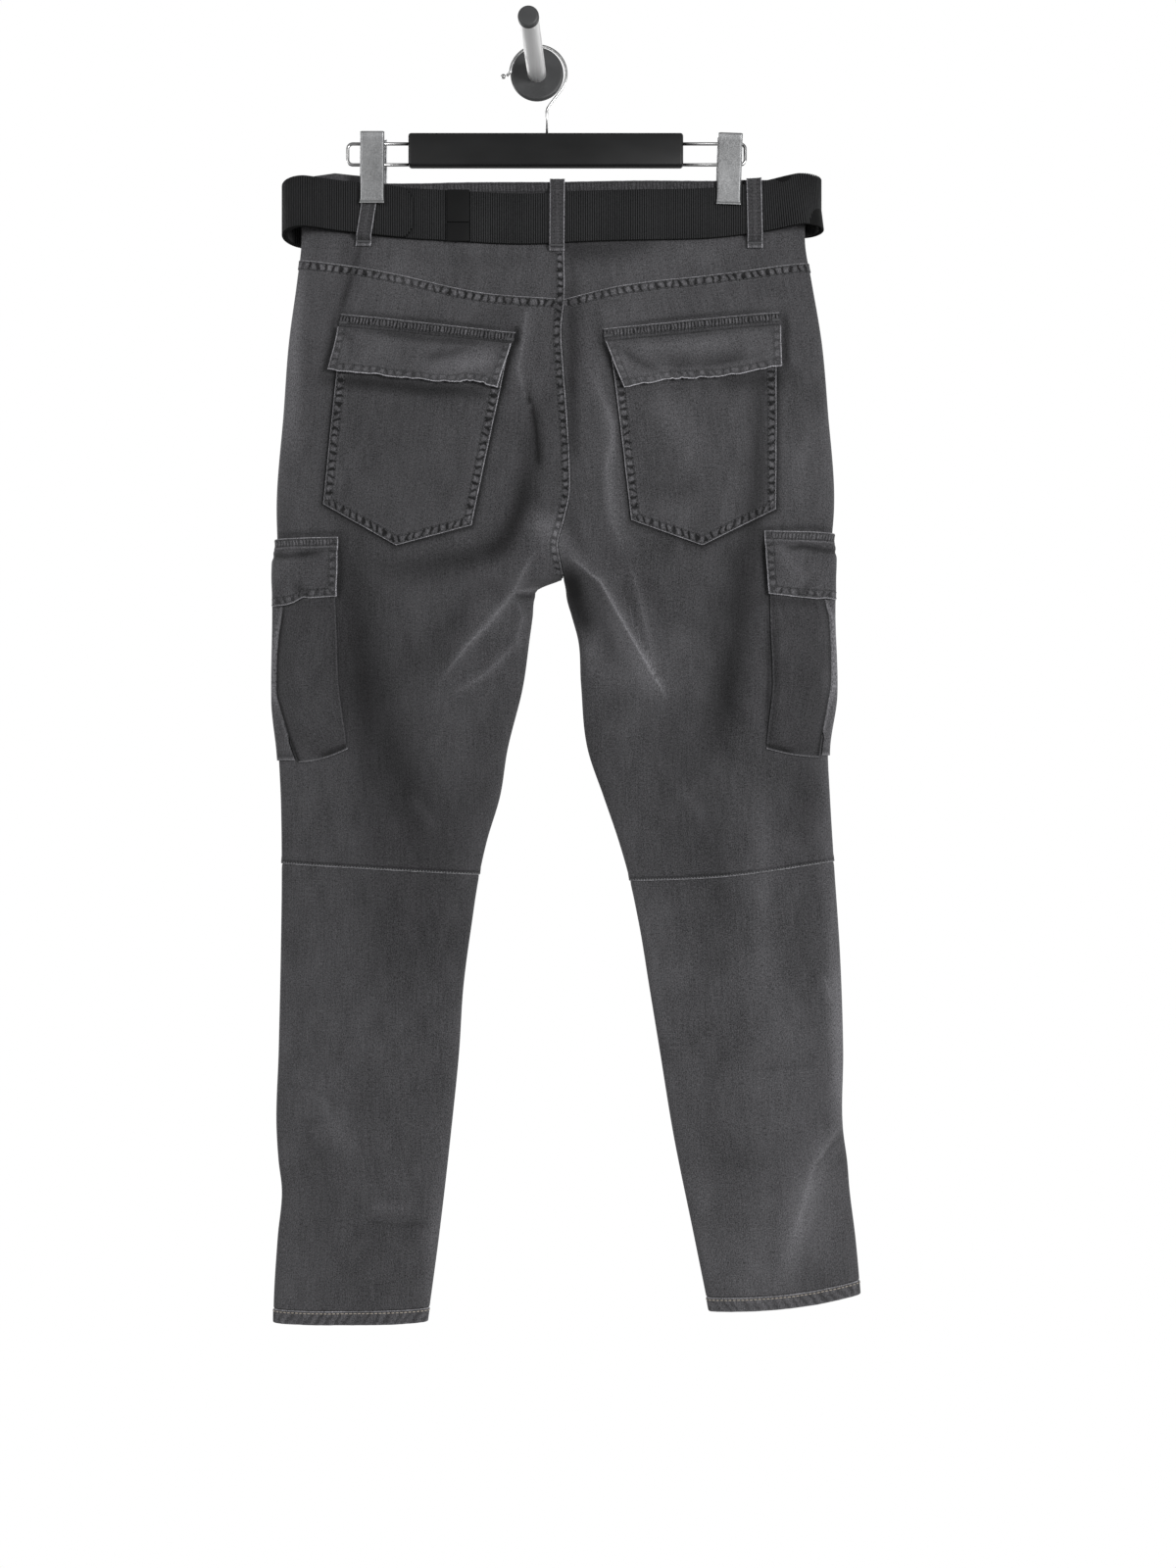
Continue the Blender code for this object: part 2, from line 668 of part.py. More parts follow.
def belt_point(way, height, lift):
    """A point of the webbing: height up from its centre line, lift out from it."""
    step = 0.002
    direction = belt_line(np.minimum(way + step, 5)) - belt_line(np.maximum(way - step, 0))
    outward = np.stack((-direction[..., 1], direction[..., 0], 0 * way), -1)
    outward /= np.linalg.norm(outward, axis=-1, keepdims=True)
    line = belt_line(way)
    lean = -BELT_SLANT * ease((line[..., 0] - BELT_SLANT_FROM) / (BELT_ENDS[1] - BELT_SLANT_FROM))
    up = np.stack((lean, 0 * lean, 1 + 0 * lean), -1)
    return placed(line + outward * lift + up * np.asarray(height)[..., None])


def belt_stations(start, end):
    """Ways along the belt, closer together on its two turns."""
    ways = np.concatenate([leg + np.arange(count) / count for leg, count in enumerate(BELT_STEPS)])
    return np.concatenate(([start], ways[(ways > start + 0.01) & (ways < end)], [end]))


def on_back_run(x):
    """The way of the belt's back run at x."""
    return 2 + (BELT_ENDS[1] - x) / (BELT_ENDS[1] - BELT_ENDS[0])


def belt(webbing, metal, collection):
    main = belt_stations(0, 5)
    tail = belt_stations(on_back_run(TAIL_END), 5)

    def strap(u, v, depth):
        way = np.interp(u, np.linspace(0, 1, len(main)), main)
        return belt_point(way, BELT_WIDTH * (0.5 - v), BELT_WALL / 2 - depth)

    def end_piece(u, v, depth):
        way = np.interp(u, np.linspace(0, 1, len(tail)), tail)
        from_end = (way - tail[0]) * (BELT_ENDS[1] - BELT_ENDS[0])
        cut = TAIL_CORNER * np.clip(1 - from_end / TAIL_CORNER, 0, 1) ** 2
        return belt_point(way, (BELT_WIDTH / 2 - cut) * (1 - 2 * v), BELT_WALL * 1.5 + SEAM - depth)

    wall("belt", len(main) - 1, 1, strap, BELT_WALL, webbing, collection)
    wall("belt_tail", len(tail) - 1, 1, end_piece, BELT_WALL, webbing, collection)
    middle = sum(KEEPER_X) / 2
    outside = belt_depth(middle) + BELT_WALL / 2 + KEEPER_GAP
    keeper_size = (KEEPER_X[1] - KEEPER_X[0], KEEPER_WALL, BELT_WIDTH + KEEPER_TALLER)
    keeper_place = (middle, -outside - KEEPER_WALL / 2, -along(*BELT_BACK, middle))
    block("belt_keeper", keeper_size, keeper_place, webbing, collection, bevel=0.4)
    buckle_place = (0, belt_depth(0.0) + BUCKLE_OUT, -along(*BELT_FRONT, 0.0))
    buckle_size = (2 * BUCKLE_HALF, BUCKLE_WALL, BELT_WIDTH - BUCKLE_SHORTER)
    block("belt_buckle", buckle_size, buckle_place, metal, collection, bevel=1.2)


# Loops over the belt: face, layers of webbing inside, x and drop of the top and of the bottom
Loop = namedtuple("Loop", "face layers top bottom")
LOOPS = {
    "belt_loop_back_left": Loop(BACK, 2, (-185.5, 2), (-195.5, 67)),
    "belt_loop_back_centre": Loop(BACK, 1, (-5.8, 4.4), (-6.2, 74.5)),
    "belt_loop_back_right": Loop(BACK, 1, (185.5, 1), (187.0, 69)),
    "belt_loop_front_left": Loop(FRONT, 2, (-120.0, 6), (-120.0, 73)),
    "belt_loop_front_right": Loop(FRONT, 1, (118.0, 6), (118.0, 68)),
}
LOOP_WIDTH = 14.6
LOOP_WALL = 1.6
LOOP_GAP = 1.0
LOOP_CLEAR = 2.2
LOOP_REST = 1.9
LOOP_TURN = 4.5


def belt_loops(denim, collection):
    for name, loop in LOOPS.items():

        def place(u, v, depth, loop=loop):
            drop = loop.top[1] + (loop.bottom[1] - loop.top[1]) * v
            slant = (drop - loop.top[1]) / (loop.bottom[1] - loop.top[1])
            x = loop.top[0] + (loop.bottom[0] - loop.top[0]) * slant + LOOP_WIDTH * (u - 0.5)
            line = along(*(BELT_BACK if loop.face == BACK else BELT_FRONT), x)
            layers = (loop.layers - 1) * (BELT_WALL + SEAM)
            over = belt_depth(x) + BELT_WALL / 2 + layers + LOOP_GAP + LOOP_WALL
            side = 1 if loop.top[0] > 0 else -1
            cloth = bare(side, loop.face * turn_at(side, x, drop), drop)
            resting = np.abs(cloth[..., 1]) + LOOP_REST + LOOP_WALL
            outside = np.maximum(np.abs(drop - line) - BELT_WIDTH / 2 - LOOP_CLEAR, 0)
            reach = over + (resting - over) * ease(outside / LOOP_TURN)
            return placed(np.stack((x, -loop.face * (reach - depth), -drop), -1))

        wall(name, 1, 16, place, LOOP_WALL, denim, collection)


# ---------------------------------------------------------------- fly and waist button

FLY_WIDTH = 38.0
FLY_DROPS = (70.0, 205.0)
FLY_INSET = 1.0
FLY_REST = 1.3
# The fly's outer edge curves in to the centre below this share of its height
FLY_CURVE_FROM = 0.7
FLY_CURVE = 0.32
BUTTON_RADIUS = 8.5
BUTTON_WALL = 1.4
BUTTON_BEVEL = 0.4
BUTTON_DROP = 26.0
BUTTON_TURN = -0.99


def fly(denim, metal, collection):
    def place(u, v, depth):
        drop = FLY_DROPS[0] + (FLY_DROPS[1] - FLY_DROPS[0]) * v
        width = FLY_WIDTH * np.sqrt(1 - np.clip((v - FLY_CURVE_FROM) / FLY_CURVE, 0, 1) ** 2)
        x = FLY_INSET + width * u
        return skin(1, -turn_at(1, x, drop), drop, FLY_REST + POCKET_WALL - depth)

    wall("fly", 5, 8, place, POCKET_WALL, denim, collection)
    front = bare(1, np.array([BUTTON_TURN]), np.array([BUTTON_DROP]))[0][1] + SEAM + BUTTON_WALL / 2
    middle = placed((0, front, -BUTTON_DROP))
    flat = (math.pi / 2, 0, 0)
    cylinder("waist_button", BUTTON_RADIUS, BUTTON_WALL, middle, flat, metal, collection, BUTTON_BEVEL, 16)


# ---------------------------------------------------------------- hanger


def arc(centre, radius, start_deg, end_deg, count):
    """Points of an arc as pairs, in the plane of the hanger."""
    angles = np.radians(np.linspace(start_deg, end_deg, count))
    return [(centre[0] + radius * math.cos(a), centre[1] + radius * math.sin(a)) for a in angles]


def hanger(black, steel, plate, collection):
    middle = (sum(BAR_X) / 2, 0, -sum(BAR_DROPS) / 2)
    size = (BAR_X[1] - BAR_X[0], BAR_DEPTH, BAR_DROPS[1] - BAR_DROPS[0])
    block("hanger_bar", size, middle, black, collection, bevel=2.5)
    for word, end, bar_end in (("left", RAIL_ENDS[0], BAR_X[0]), ("right", RAIL_ENDS[1], BAR_X[1])):
        sign = -1 if word == "left" else 1
        inner = end - sign * RAIL_CORNER
        top, low = -RAIL_DROPS[0], -RAIL_DROPS[1]
        start = bar_end + sign * SEAM
        upper = arc((0, top - RAIL_CORNER), RAIL_CORNER, 90, 0, 5)
        lower = arc((0, low + RAIL_CORNER), RAIL_CORNER, 0, -90, 5)
        path = [(start, top)] + [(inner + sign * x, z) for x, z in upper + lower] + [(start, low)]
        wire(f"hanger_rail_{word}", [placed((x, 0, z)) for x, z in path], RAIL_RADIUS, steel, collection)

    stem_end = (HOOK_STEM[0], WAIST_Z - BAR_DROPS[0] + SEAM)
    points = [HOOK_START, *arc(HOOK_CENTRE, HOOK_RADIUS, *HOOK_ARC_DEG, 22), HOOK_NECK, HOOK_STEM, stem_end]
    path = [(x * MM, HANGER_Y * MM, z * MM) for x, z in points]
    wire("hanger_hook", path, HOOK_WIRE, steel, collection)
    bm = bmesh.new()
    bmesh.ops.create_uvsphere(bm, u_segments=10, v_segments=6, radius=HOOK_TIP_RADIUS * MM)
    mesh = bpy.data.meshes.new("hanger_hook_tip")
    bm.to_mesh(mesh)
    bm.free()
    mesh.shade_smooth()
    ball = finish("hanger_hook_tip", mesh, steel, collection)
    ball.location = ((HOOK_TIP[0] - SEAM) * MM, HANGER_Y * MM, HOOK_TIP[1] * MM)

    for word, x, tilt, jaw in zip(SIDES, CLIP_X, CLIP_TILT_DEG, CLIP_JAW):
        clip(word, x, tilt, jaw, plate, steel, collection)


def clip(word, x, tilt, jaw, plate, steel, collection):
    """Two plates that lean together towards the top, on a pivot between the rails."""
    height = CLIP_DROPS[1] - CLIP_DROPS[0]
    middle = placed((x, 0, -sum(CLIP_DROPS) / 2))
    frame = bpy.data.objects.new(f"clip_frame_{word}", None)
    collection.objects.link(frame)
    frame.location = middle
    frame.rotation_euler = (0, math.radians(tilt), 0)
    lean = math.radians(CLIP_LEAN_DEG)
    for which, sign in (("back", -1), ("front", 1)):
        reach = jaw + CLIP_WALL / 2 - math.sin(lean) * height / 2
        size = (CLIP_WIDTH, CLIP_WALL, height)
        half = block(f"clip_{which}_{word}", size, (0, 0, 0), plate, collection, bevel=0.5)
        half.location = (0, sign * reach * MM, 0)
        half.rotation_euler = (sign * lean, 0, 0)
        half.parent = frame
    pivot = cylinder(
        f"clip_pivot_{word}",
        PIVOT_RADIUS,
        CLIP_WIDTH - 3,
        (0, 0, (sum(RAIL_DROPS) - sum(CLIP_DROPS)) / -2 * MM),
        (0, math.pi / 2, 0),
        steel,
        collection,
        segments=20,
    )
    pivot.parent = frame


# ---------------------------------------------------------------- wall peg


def peg(black, steel, collection):
    """A round plate on the wall, with a rod that leans a little to the left."""
    lean = math.radians(ROD_LEAN_DEG)
    towards_room = (math.pi / 2, 0, -lean)

    def at(reach):
        return -math.sin(lean) * reach * MM, -(FLANGE_DEPTH + math.cos(lean) * reach) * MM, 0

    flange_middle = (0, -FLANGE_DEPTH / 2 * MM, 0)
    square = (math.pi / 2, 0, 0)
    cylinder("peg_flange", FLANGE_RADIUS, FLANGE_DEPTH, flange_middle, square, black, collection, 1.2)
    rod_middle = at(ROD_GAP + ROD_LENGTH / 2)
    cylinder("peg_rod", ROD_RADIUS, ROD_LENGTH, rod_middle, towards_room, steel, collection)
    cap_middle = at(ROD_GAP + ROD_LENGTH + SEAM + CAP_LENGTH / 2)
    cylinder("peg_cap", CAP_RADIUS, CAP_LENGTH, cap_middle, towards_room, black, collection, 1.8)


def main():
    for item in list(bpy.data.objects):
        bpy.data.objects.remove(item)
    collection = bpy.data.collections.new("hanging_cargo_jeans")
    bpy.context.scene.collection.children.link(collection)
    denim = material("charcoal_denim", (0.075, 0.075, 0.078), 0.9)
    webbing = material("black_webbing", (0.012, 0.012, 0.014), 0.7)
    black = material("black_plastic", (0.012, 0.012, 0.012), 0.45)
    steel = material("chromed_steel", (0.7, 0.7, 0.71), 0.15, 1.0)
    plate = material("brushed_plate", (0.55, 0.55, 0.54), 0.4, 1.0)
    panels(denim, collection)
    hems(denim, collection)
    back_pockets(denim, collection)
    cargo_pockets(denim, collection)
    belt(webbing, plate, collection)
    belt_loops(denim, collection)
    fly(denim, plate, collection)
    hanger(black, steel, plate, collection)
    peg(black, steel, collection)


main()
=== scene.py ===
"""Looks of the cargo jeans with a webbing belt, clipped by the waist to a hanger on a wall peg.

The garment's tables are in its own millimetres: x to the right of the centre back seam, drop downwards
from the waist and depth outwards from the hanger's plane. Left and right are the wearer's.
"""
import functools
import math
from collections import namedtuple

import bmesh
import bpy
import numpy as np
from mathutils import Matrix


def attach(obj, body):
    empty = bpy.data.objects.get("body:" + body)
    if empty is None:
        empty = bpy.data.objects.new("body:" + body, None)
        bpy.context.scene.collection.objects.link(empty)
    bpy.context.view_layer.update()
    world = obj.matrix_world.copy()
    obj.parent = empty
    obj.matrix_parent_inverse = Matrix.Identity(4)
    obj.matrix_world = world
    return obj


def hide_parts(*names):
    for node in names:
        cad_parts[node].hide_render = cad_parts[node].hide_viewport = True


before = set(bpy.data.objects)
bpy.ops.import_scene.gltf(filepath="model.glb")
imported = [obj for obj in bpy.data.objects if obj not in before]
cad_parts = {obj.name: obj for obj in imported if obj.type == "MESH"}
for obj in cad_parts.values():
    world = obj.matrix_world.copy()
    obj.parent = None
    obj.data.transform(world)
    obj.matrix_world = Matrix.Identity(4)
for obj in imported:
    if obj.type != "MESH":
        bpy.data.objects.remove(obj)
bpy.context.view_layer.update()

MM = 0.001
SIDES = {"left": -1, "right": 1}
BACK, FRONT = 1, -1

# Where the garment hangs, in millimetres from the origin
CENTRE_X = 27.2
HANGER_Y = -50.0
WAIST_Z = -120.0

# Cloth
SEAM = 0.3
PANEL_WALL = 1.6
POCKET_WALL = 1.5
HEM_WALL = 3.0
HEM_HEIGHT = 14.4
HEM_GAP = 0.6
WAIST_SEAM = 44.0
CROTCH = 392.0
CROTCH_RISE = 120.0
# A turn of 0 is on the side seam and has no clear face: points there are moved this little
OFF_SEAM = 1e-6

# The outline of the garment: half widths from the centre to the side seams, and half the thickness
Section = namedtuple("Section", "drop left right depth")
SECTIONS = [Section(*row) for row in (
    (-10, 260, 240, 14.5), (0, 260, 240, 14.5), (66, 257, 237, 14.5), (100, 261, 243, 17),
    (160, 269, 253, 22), (227, 274, 259, 26), (323, 281, 265, 27), (362, 280, 262, 26),
    (419, 279, 260, 24), (500, 280, 262, 22.5), (560, 279, 259, 21), (604, 277, 261, 20),
    (670, 276, 265, 19), (761, 277, 271, 18), (852, 279, 274, 18), (932, 281, 274, 17),
    (962, 279, 278, 16), (987, 276, 280, 16), (1036, 280, 286, 16), (1108, 284, 292, 15),
    (1125, 284, 293, 15),
)]

# The inner edges of the two legs, out from the centre
Inseam = namedtuple("Inseam", "drop left right")
INSEAMS = [Inseam(*row) for row in (
    (CROTCH, 0, 0), (396, 12, 1), (401, 24, 2), (410, 28, 3), (428, 30, 8), (450, 33, 14), (494, 39, 17),
    (560, 55, 24), (604, 62, 39), (648, 75, 54), (679, 82, 63), (730, 90, 74), (791, 98, 84),
    (852, 102, 94), (932, 110, 107), (1036, 122, 128), (1125, 134, 146),
)]

# Seams that cross the panels: the drop at shares of the way from the side seam to the inner edge
YOKE_SEAM = {-1: ((0, 0.27, 0.71, 1), (85, 95, 121, 127)), 1: ((0, 0.45, 0.8, 1), (88, 103, 115, 127))}
KNEE_SEAM = {-1: ((0, 1), (670, 681)), 1: ((0, 0.57, 1), (668, 683, 687))}
HEM_EDGE = {-1: ((0, 1), (1119, 1118)), 1: ((0, 0.41, 1), (1091, 1101, 1108))}

# The waist's top edge, by x
BACK_TOP = ((-264, -174, -130, -7, 101, 176, 244), (4, 5, 6.4, 6.4, 4, 1.6, 3))
FRONT_TOP = ((-264, -245, -225, -200, -175, 244), (0, -5, -8, -5, 5, 5))

# The two clips pinch the waist flat
CLIP_X = (-186.0, 162.0)
PINCH = 9.5
PINCH_WIDTH = 60.0
PINCH_ENDS = (66.0, 160.0)

# Ridges and troughs of the hanging cloth: path as (x, drop), height and half width
Fold = namedtuple("Fold", "face height width path")
FOLDS = (
    Fold(BACK, 2.5, 15, ((-36, 138), (-42, 187), (-35, 222))),
    Fold(BACK, -2.5, 12, ((-29, 227), (-23, 283), (-25, 333))),
    Fold(BACK, 5.5, 15, ((-18, 370), (-48, 409), (-91, 458), (-124, 495))),
    Fold(BACK, -3.5, 13, ((-22, 400), (-58, 442), (-98, 484))),
    Fold(BACK, 3.5, 14, ((-34, 441), (-76, 485), (-110, 505))),
    Fold(BACK, -2.5, 20, ((-192, 428), (-192, 559))),
    Fold(BACK, 3.0, 15, ((20, 177), (49, 246), (45, 288), (66, 384))),
    Fold(BACK, 7.0, 13, ((8, 376), (33, 394), (52, 433), (69, 466), (96, 496))),
    Fold(BACK, -4.0, 15, ((16, 402), (30, 440), (40, 480))),
    Fold(BACK, -3.0, 20, ((154, 438), (154, 553))),
    Fold(BACK, 4.0, 14, ((268, 924), (250, 951), (234, 998), (220, 1048), (202, 1071))),
    Fold(BACK, -3.0, 12, ((272, 985), (258, 1033), (240, 1065))),
    Fold(BACK, 2.0, 12, ((-266, 886), (-238, 892), (-214, 911))),
    Fold(BACK, -2.0, 11, ((-195, 1021), (-160, 1025), (-130, 1024))),
    Fold(FRONT, 5.0, 15, ((-14, 372), (-50, 400), (-100, 432), (-150, 446))),
    Fold(FRONT, -3.0, 13, ((-24, 350), (-70, 366), (-130, 380))),
    Fold(FRONT, 5.0, 15, ((14, 372), (46, 404), (92, 440), (140, 458))),
    Fold(FRONT, -3.0, 13, ((22, 348), (64, 368), (120, 386))),
    Fold(FRONT, 3.0, 16, ((-236, 640), (-180, 655), (-120, 650))),
    Fold(FRONT, 3.0, 16, ((96, 660), (160, 668), (226, 655))),
    Fold(FRONT, -3.0, 18, ((-200, 900), (-196, 1020))),
    Fold(FRONT, -3.0, 18, ((206, 880), (212, 1010))),
)

# Finer creases over the folds. Besides its height and width, each has a soft paler zone along its ridge, of
# wear and painted highlight, and a sharp line: pale, of wear and painted highlight, above 0, and painted
# shade in the crease below 0
Crease = namedtuple("Crease", "face height width wear rub path")
CREASES = (
    Crease(BACK, 0.9, 4, 0.1, 0.3, ((-30, 122), (-36, 134), (-39, 163), (-44, 191), (-34, 228))),
    Crease(BACK, -2.2, 5, 0, -1.1, ((-38, 208), (-30, 226), (-26, 250), (-23, 290))),
    Crease(BACK, -0.8, 6, 0, -0.3, ((-25, 300), (-27, 330), (-34, 356))),
    Crease(BACK, 1.2, 4, 0.15, 0.3, ((-18, 360), (-33, 374), (-49, 408), (-72, 436), (-93, 458),
        (-124, 497))),
    Crease(BACK, 0.8, 5, 0.1, 0.2, ((-34, 442), (-60, 470), (-76, 486), (-110, 506))),
    Crease(BACK, 1.6, 3.5, 0.1, 0.35, ((-22, 399), (-33, 403), (-46, 405))),
    Crease(BACK, -2.0, 4, 0, -0.7, ((-24, 405), (-34, 409), (-48, 410))),
    Crease(BACK, 0.7, 3.5, 0.05, 0.25, ((-46, 412), (-40, 428), (-44, 446), (-48, 456))),
    Crease(BACK, 0.8, 5, 0.1, 0.2, ((20, 178), (38, 222), (47, 246), (47, 262), (41, 287), (46, 338),
        (62, 372))),
    Crease(BACK, 1.8, 3.5, 0.1, 0.8, ((0, 366), (21, 384), (36, 397), (51, 424), (68, 454), (89, 490),
        (104, 516))),
    Crease(BACK, -5.0, 13, 0, 0, ((10, 402), (24, 425), (36, 462), (44, 500))),
    Crease(BACK, 1.2, 5, 0.1, 0.18, ((62, 372), (72, 405), (81, 444), (91, 487))),
    Crease(BACK, -1.4, 8, 0, 0, ((84, 392), (100, 452), (112, 500))),
    Crease(BACK, 1.3, 4, 0.08, 0.14, ((274, 921), (253, 948), (243, 964), (234, 994), (220, 1043))),
    Crease(BACK, -1.6, 4, 0, -0.6, ((280, 930), (262, 944), (247, 962), (240, 980))),
    Crease(BACK, 0.8, 4, 0.05, 0.3, ((252, 776), (257, 790), (262, 806))),
    Crease(BACK, -0.7, 4, 0, -0.25, ((176, 871), (214, 867), (249, 865))),
    Crease(BACK, -0.7, 4, 0, -0.25, ((-278, 883), (-238, 889), (-214, 908))),
    Crease(BACK, -0.6, 4, 0, -0.2, ((-259, 920), (-229, 920))),
    Crease(BACK, 0.9, 6, 0.05, 0.1, ((-189, 1004), (-143, 1005))),
    Crease(BACK, -1.1, 5, 0, -0.4, ((-195, 1017), (-160, 1022), (-125, 1020))),
    Crease(BACK, 0.8, 6, 0.05, 0, ((-214, 250), (-205, 300), (-200, 345))),
    Crease(BACK, 0.8, 7, 0.05, 0, ((236, 240), (228, 290), (230, 330))),
    Crease(BACK, 0.7, 6, 0.05, 0, ((-150, 600), (-120, 640))),
    Crease(BACK, 0.7, 6, 0.05, 0, ((110, 590), (140, 630))),
    Crease(FRONT, 1.4, 7, 0.15, 0.2, ((-14, 372), (-50, 400), (-100, 432), (-146, 446))),
    Crease(FRONT, 1.3, 7, 0.12, 0.12, ((-18, 340), (-62, 356), (-120, 366))),
    Crease(FRONT, 1.4, 7, 0.15, 0.2, ((14, 372), (46, 404), (92, 440), (138, 458))),
    Crease(FRONT, 1.3, 7, 0.12, 0.12, ((20, 336), (58, 350), (112, 372))),
    Crease(FRONT, 1.2, 8, 0.1, 0.08, ((-230, 648), (-180, 660), (-124, 654))),
    Crease(FRONT, 1.2, 8, 0.1, 0.06, ((-236, 700), (-190, 712), (-140, 706))),
    Crease(FRONT, 1.2, 8, 0.1, 0.08, ((98, 664), (160, 672), (222, 660))),
    Crease(FRONT, 1.2, 8, 0.1, 0.06, ((104, 716), (170, 724), (232, 712))),
)
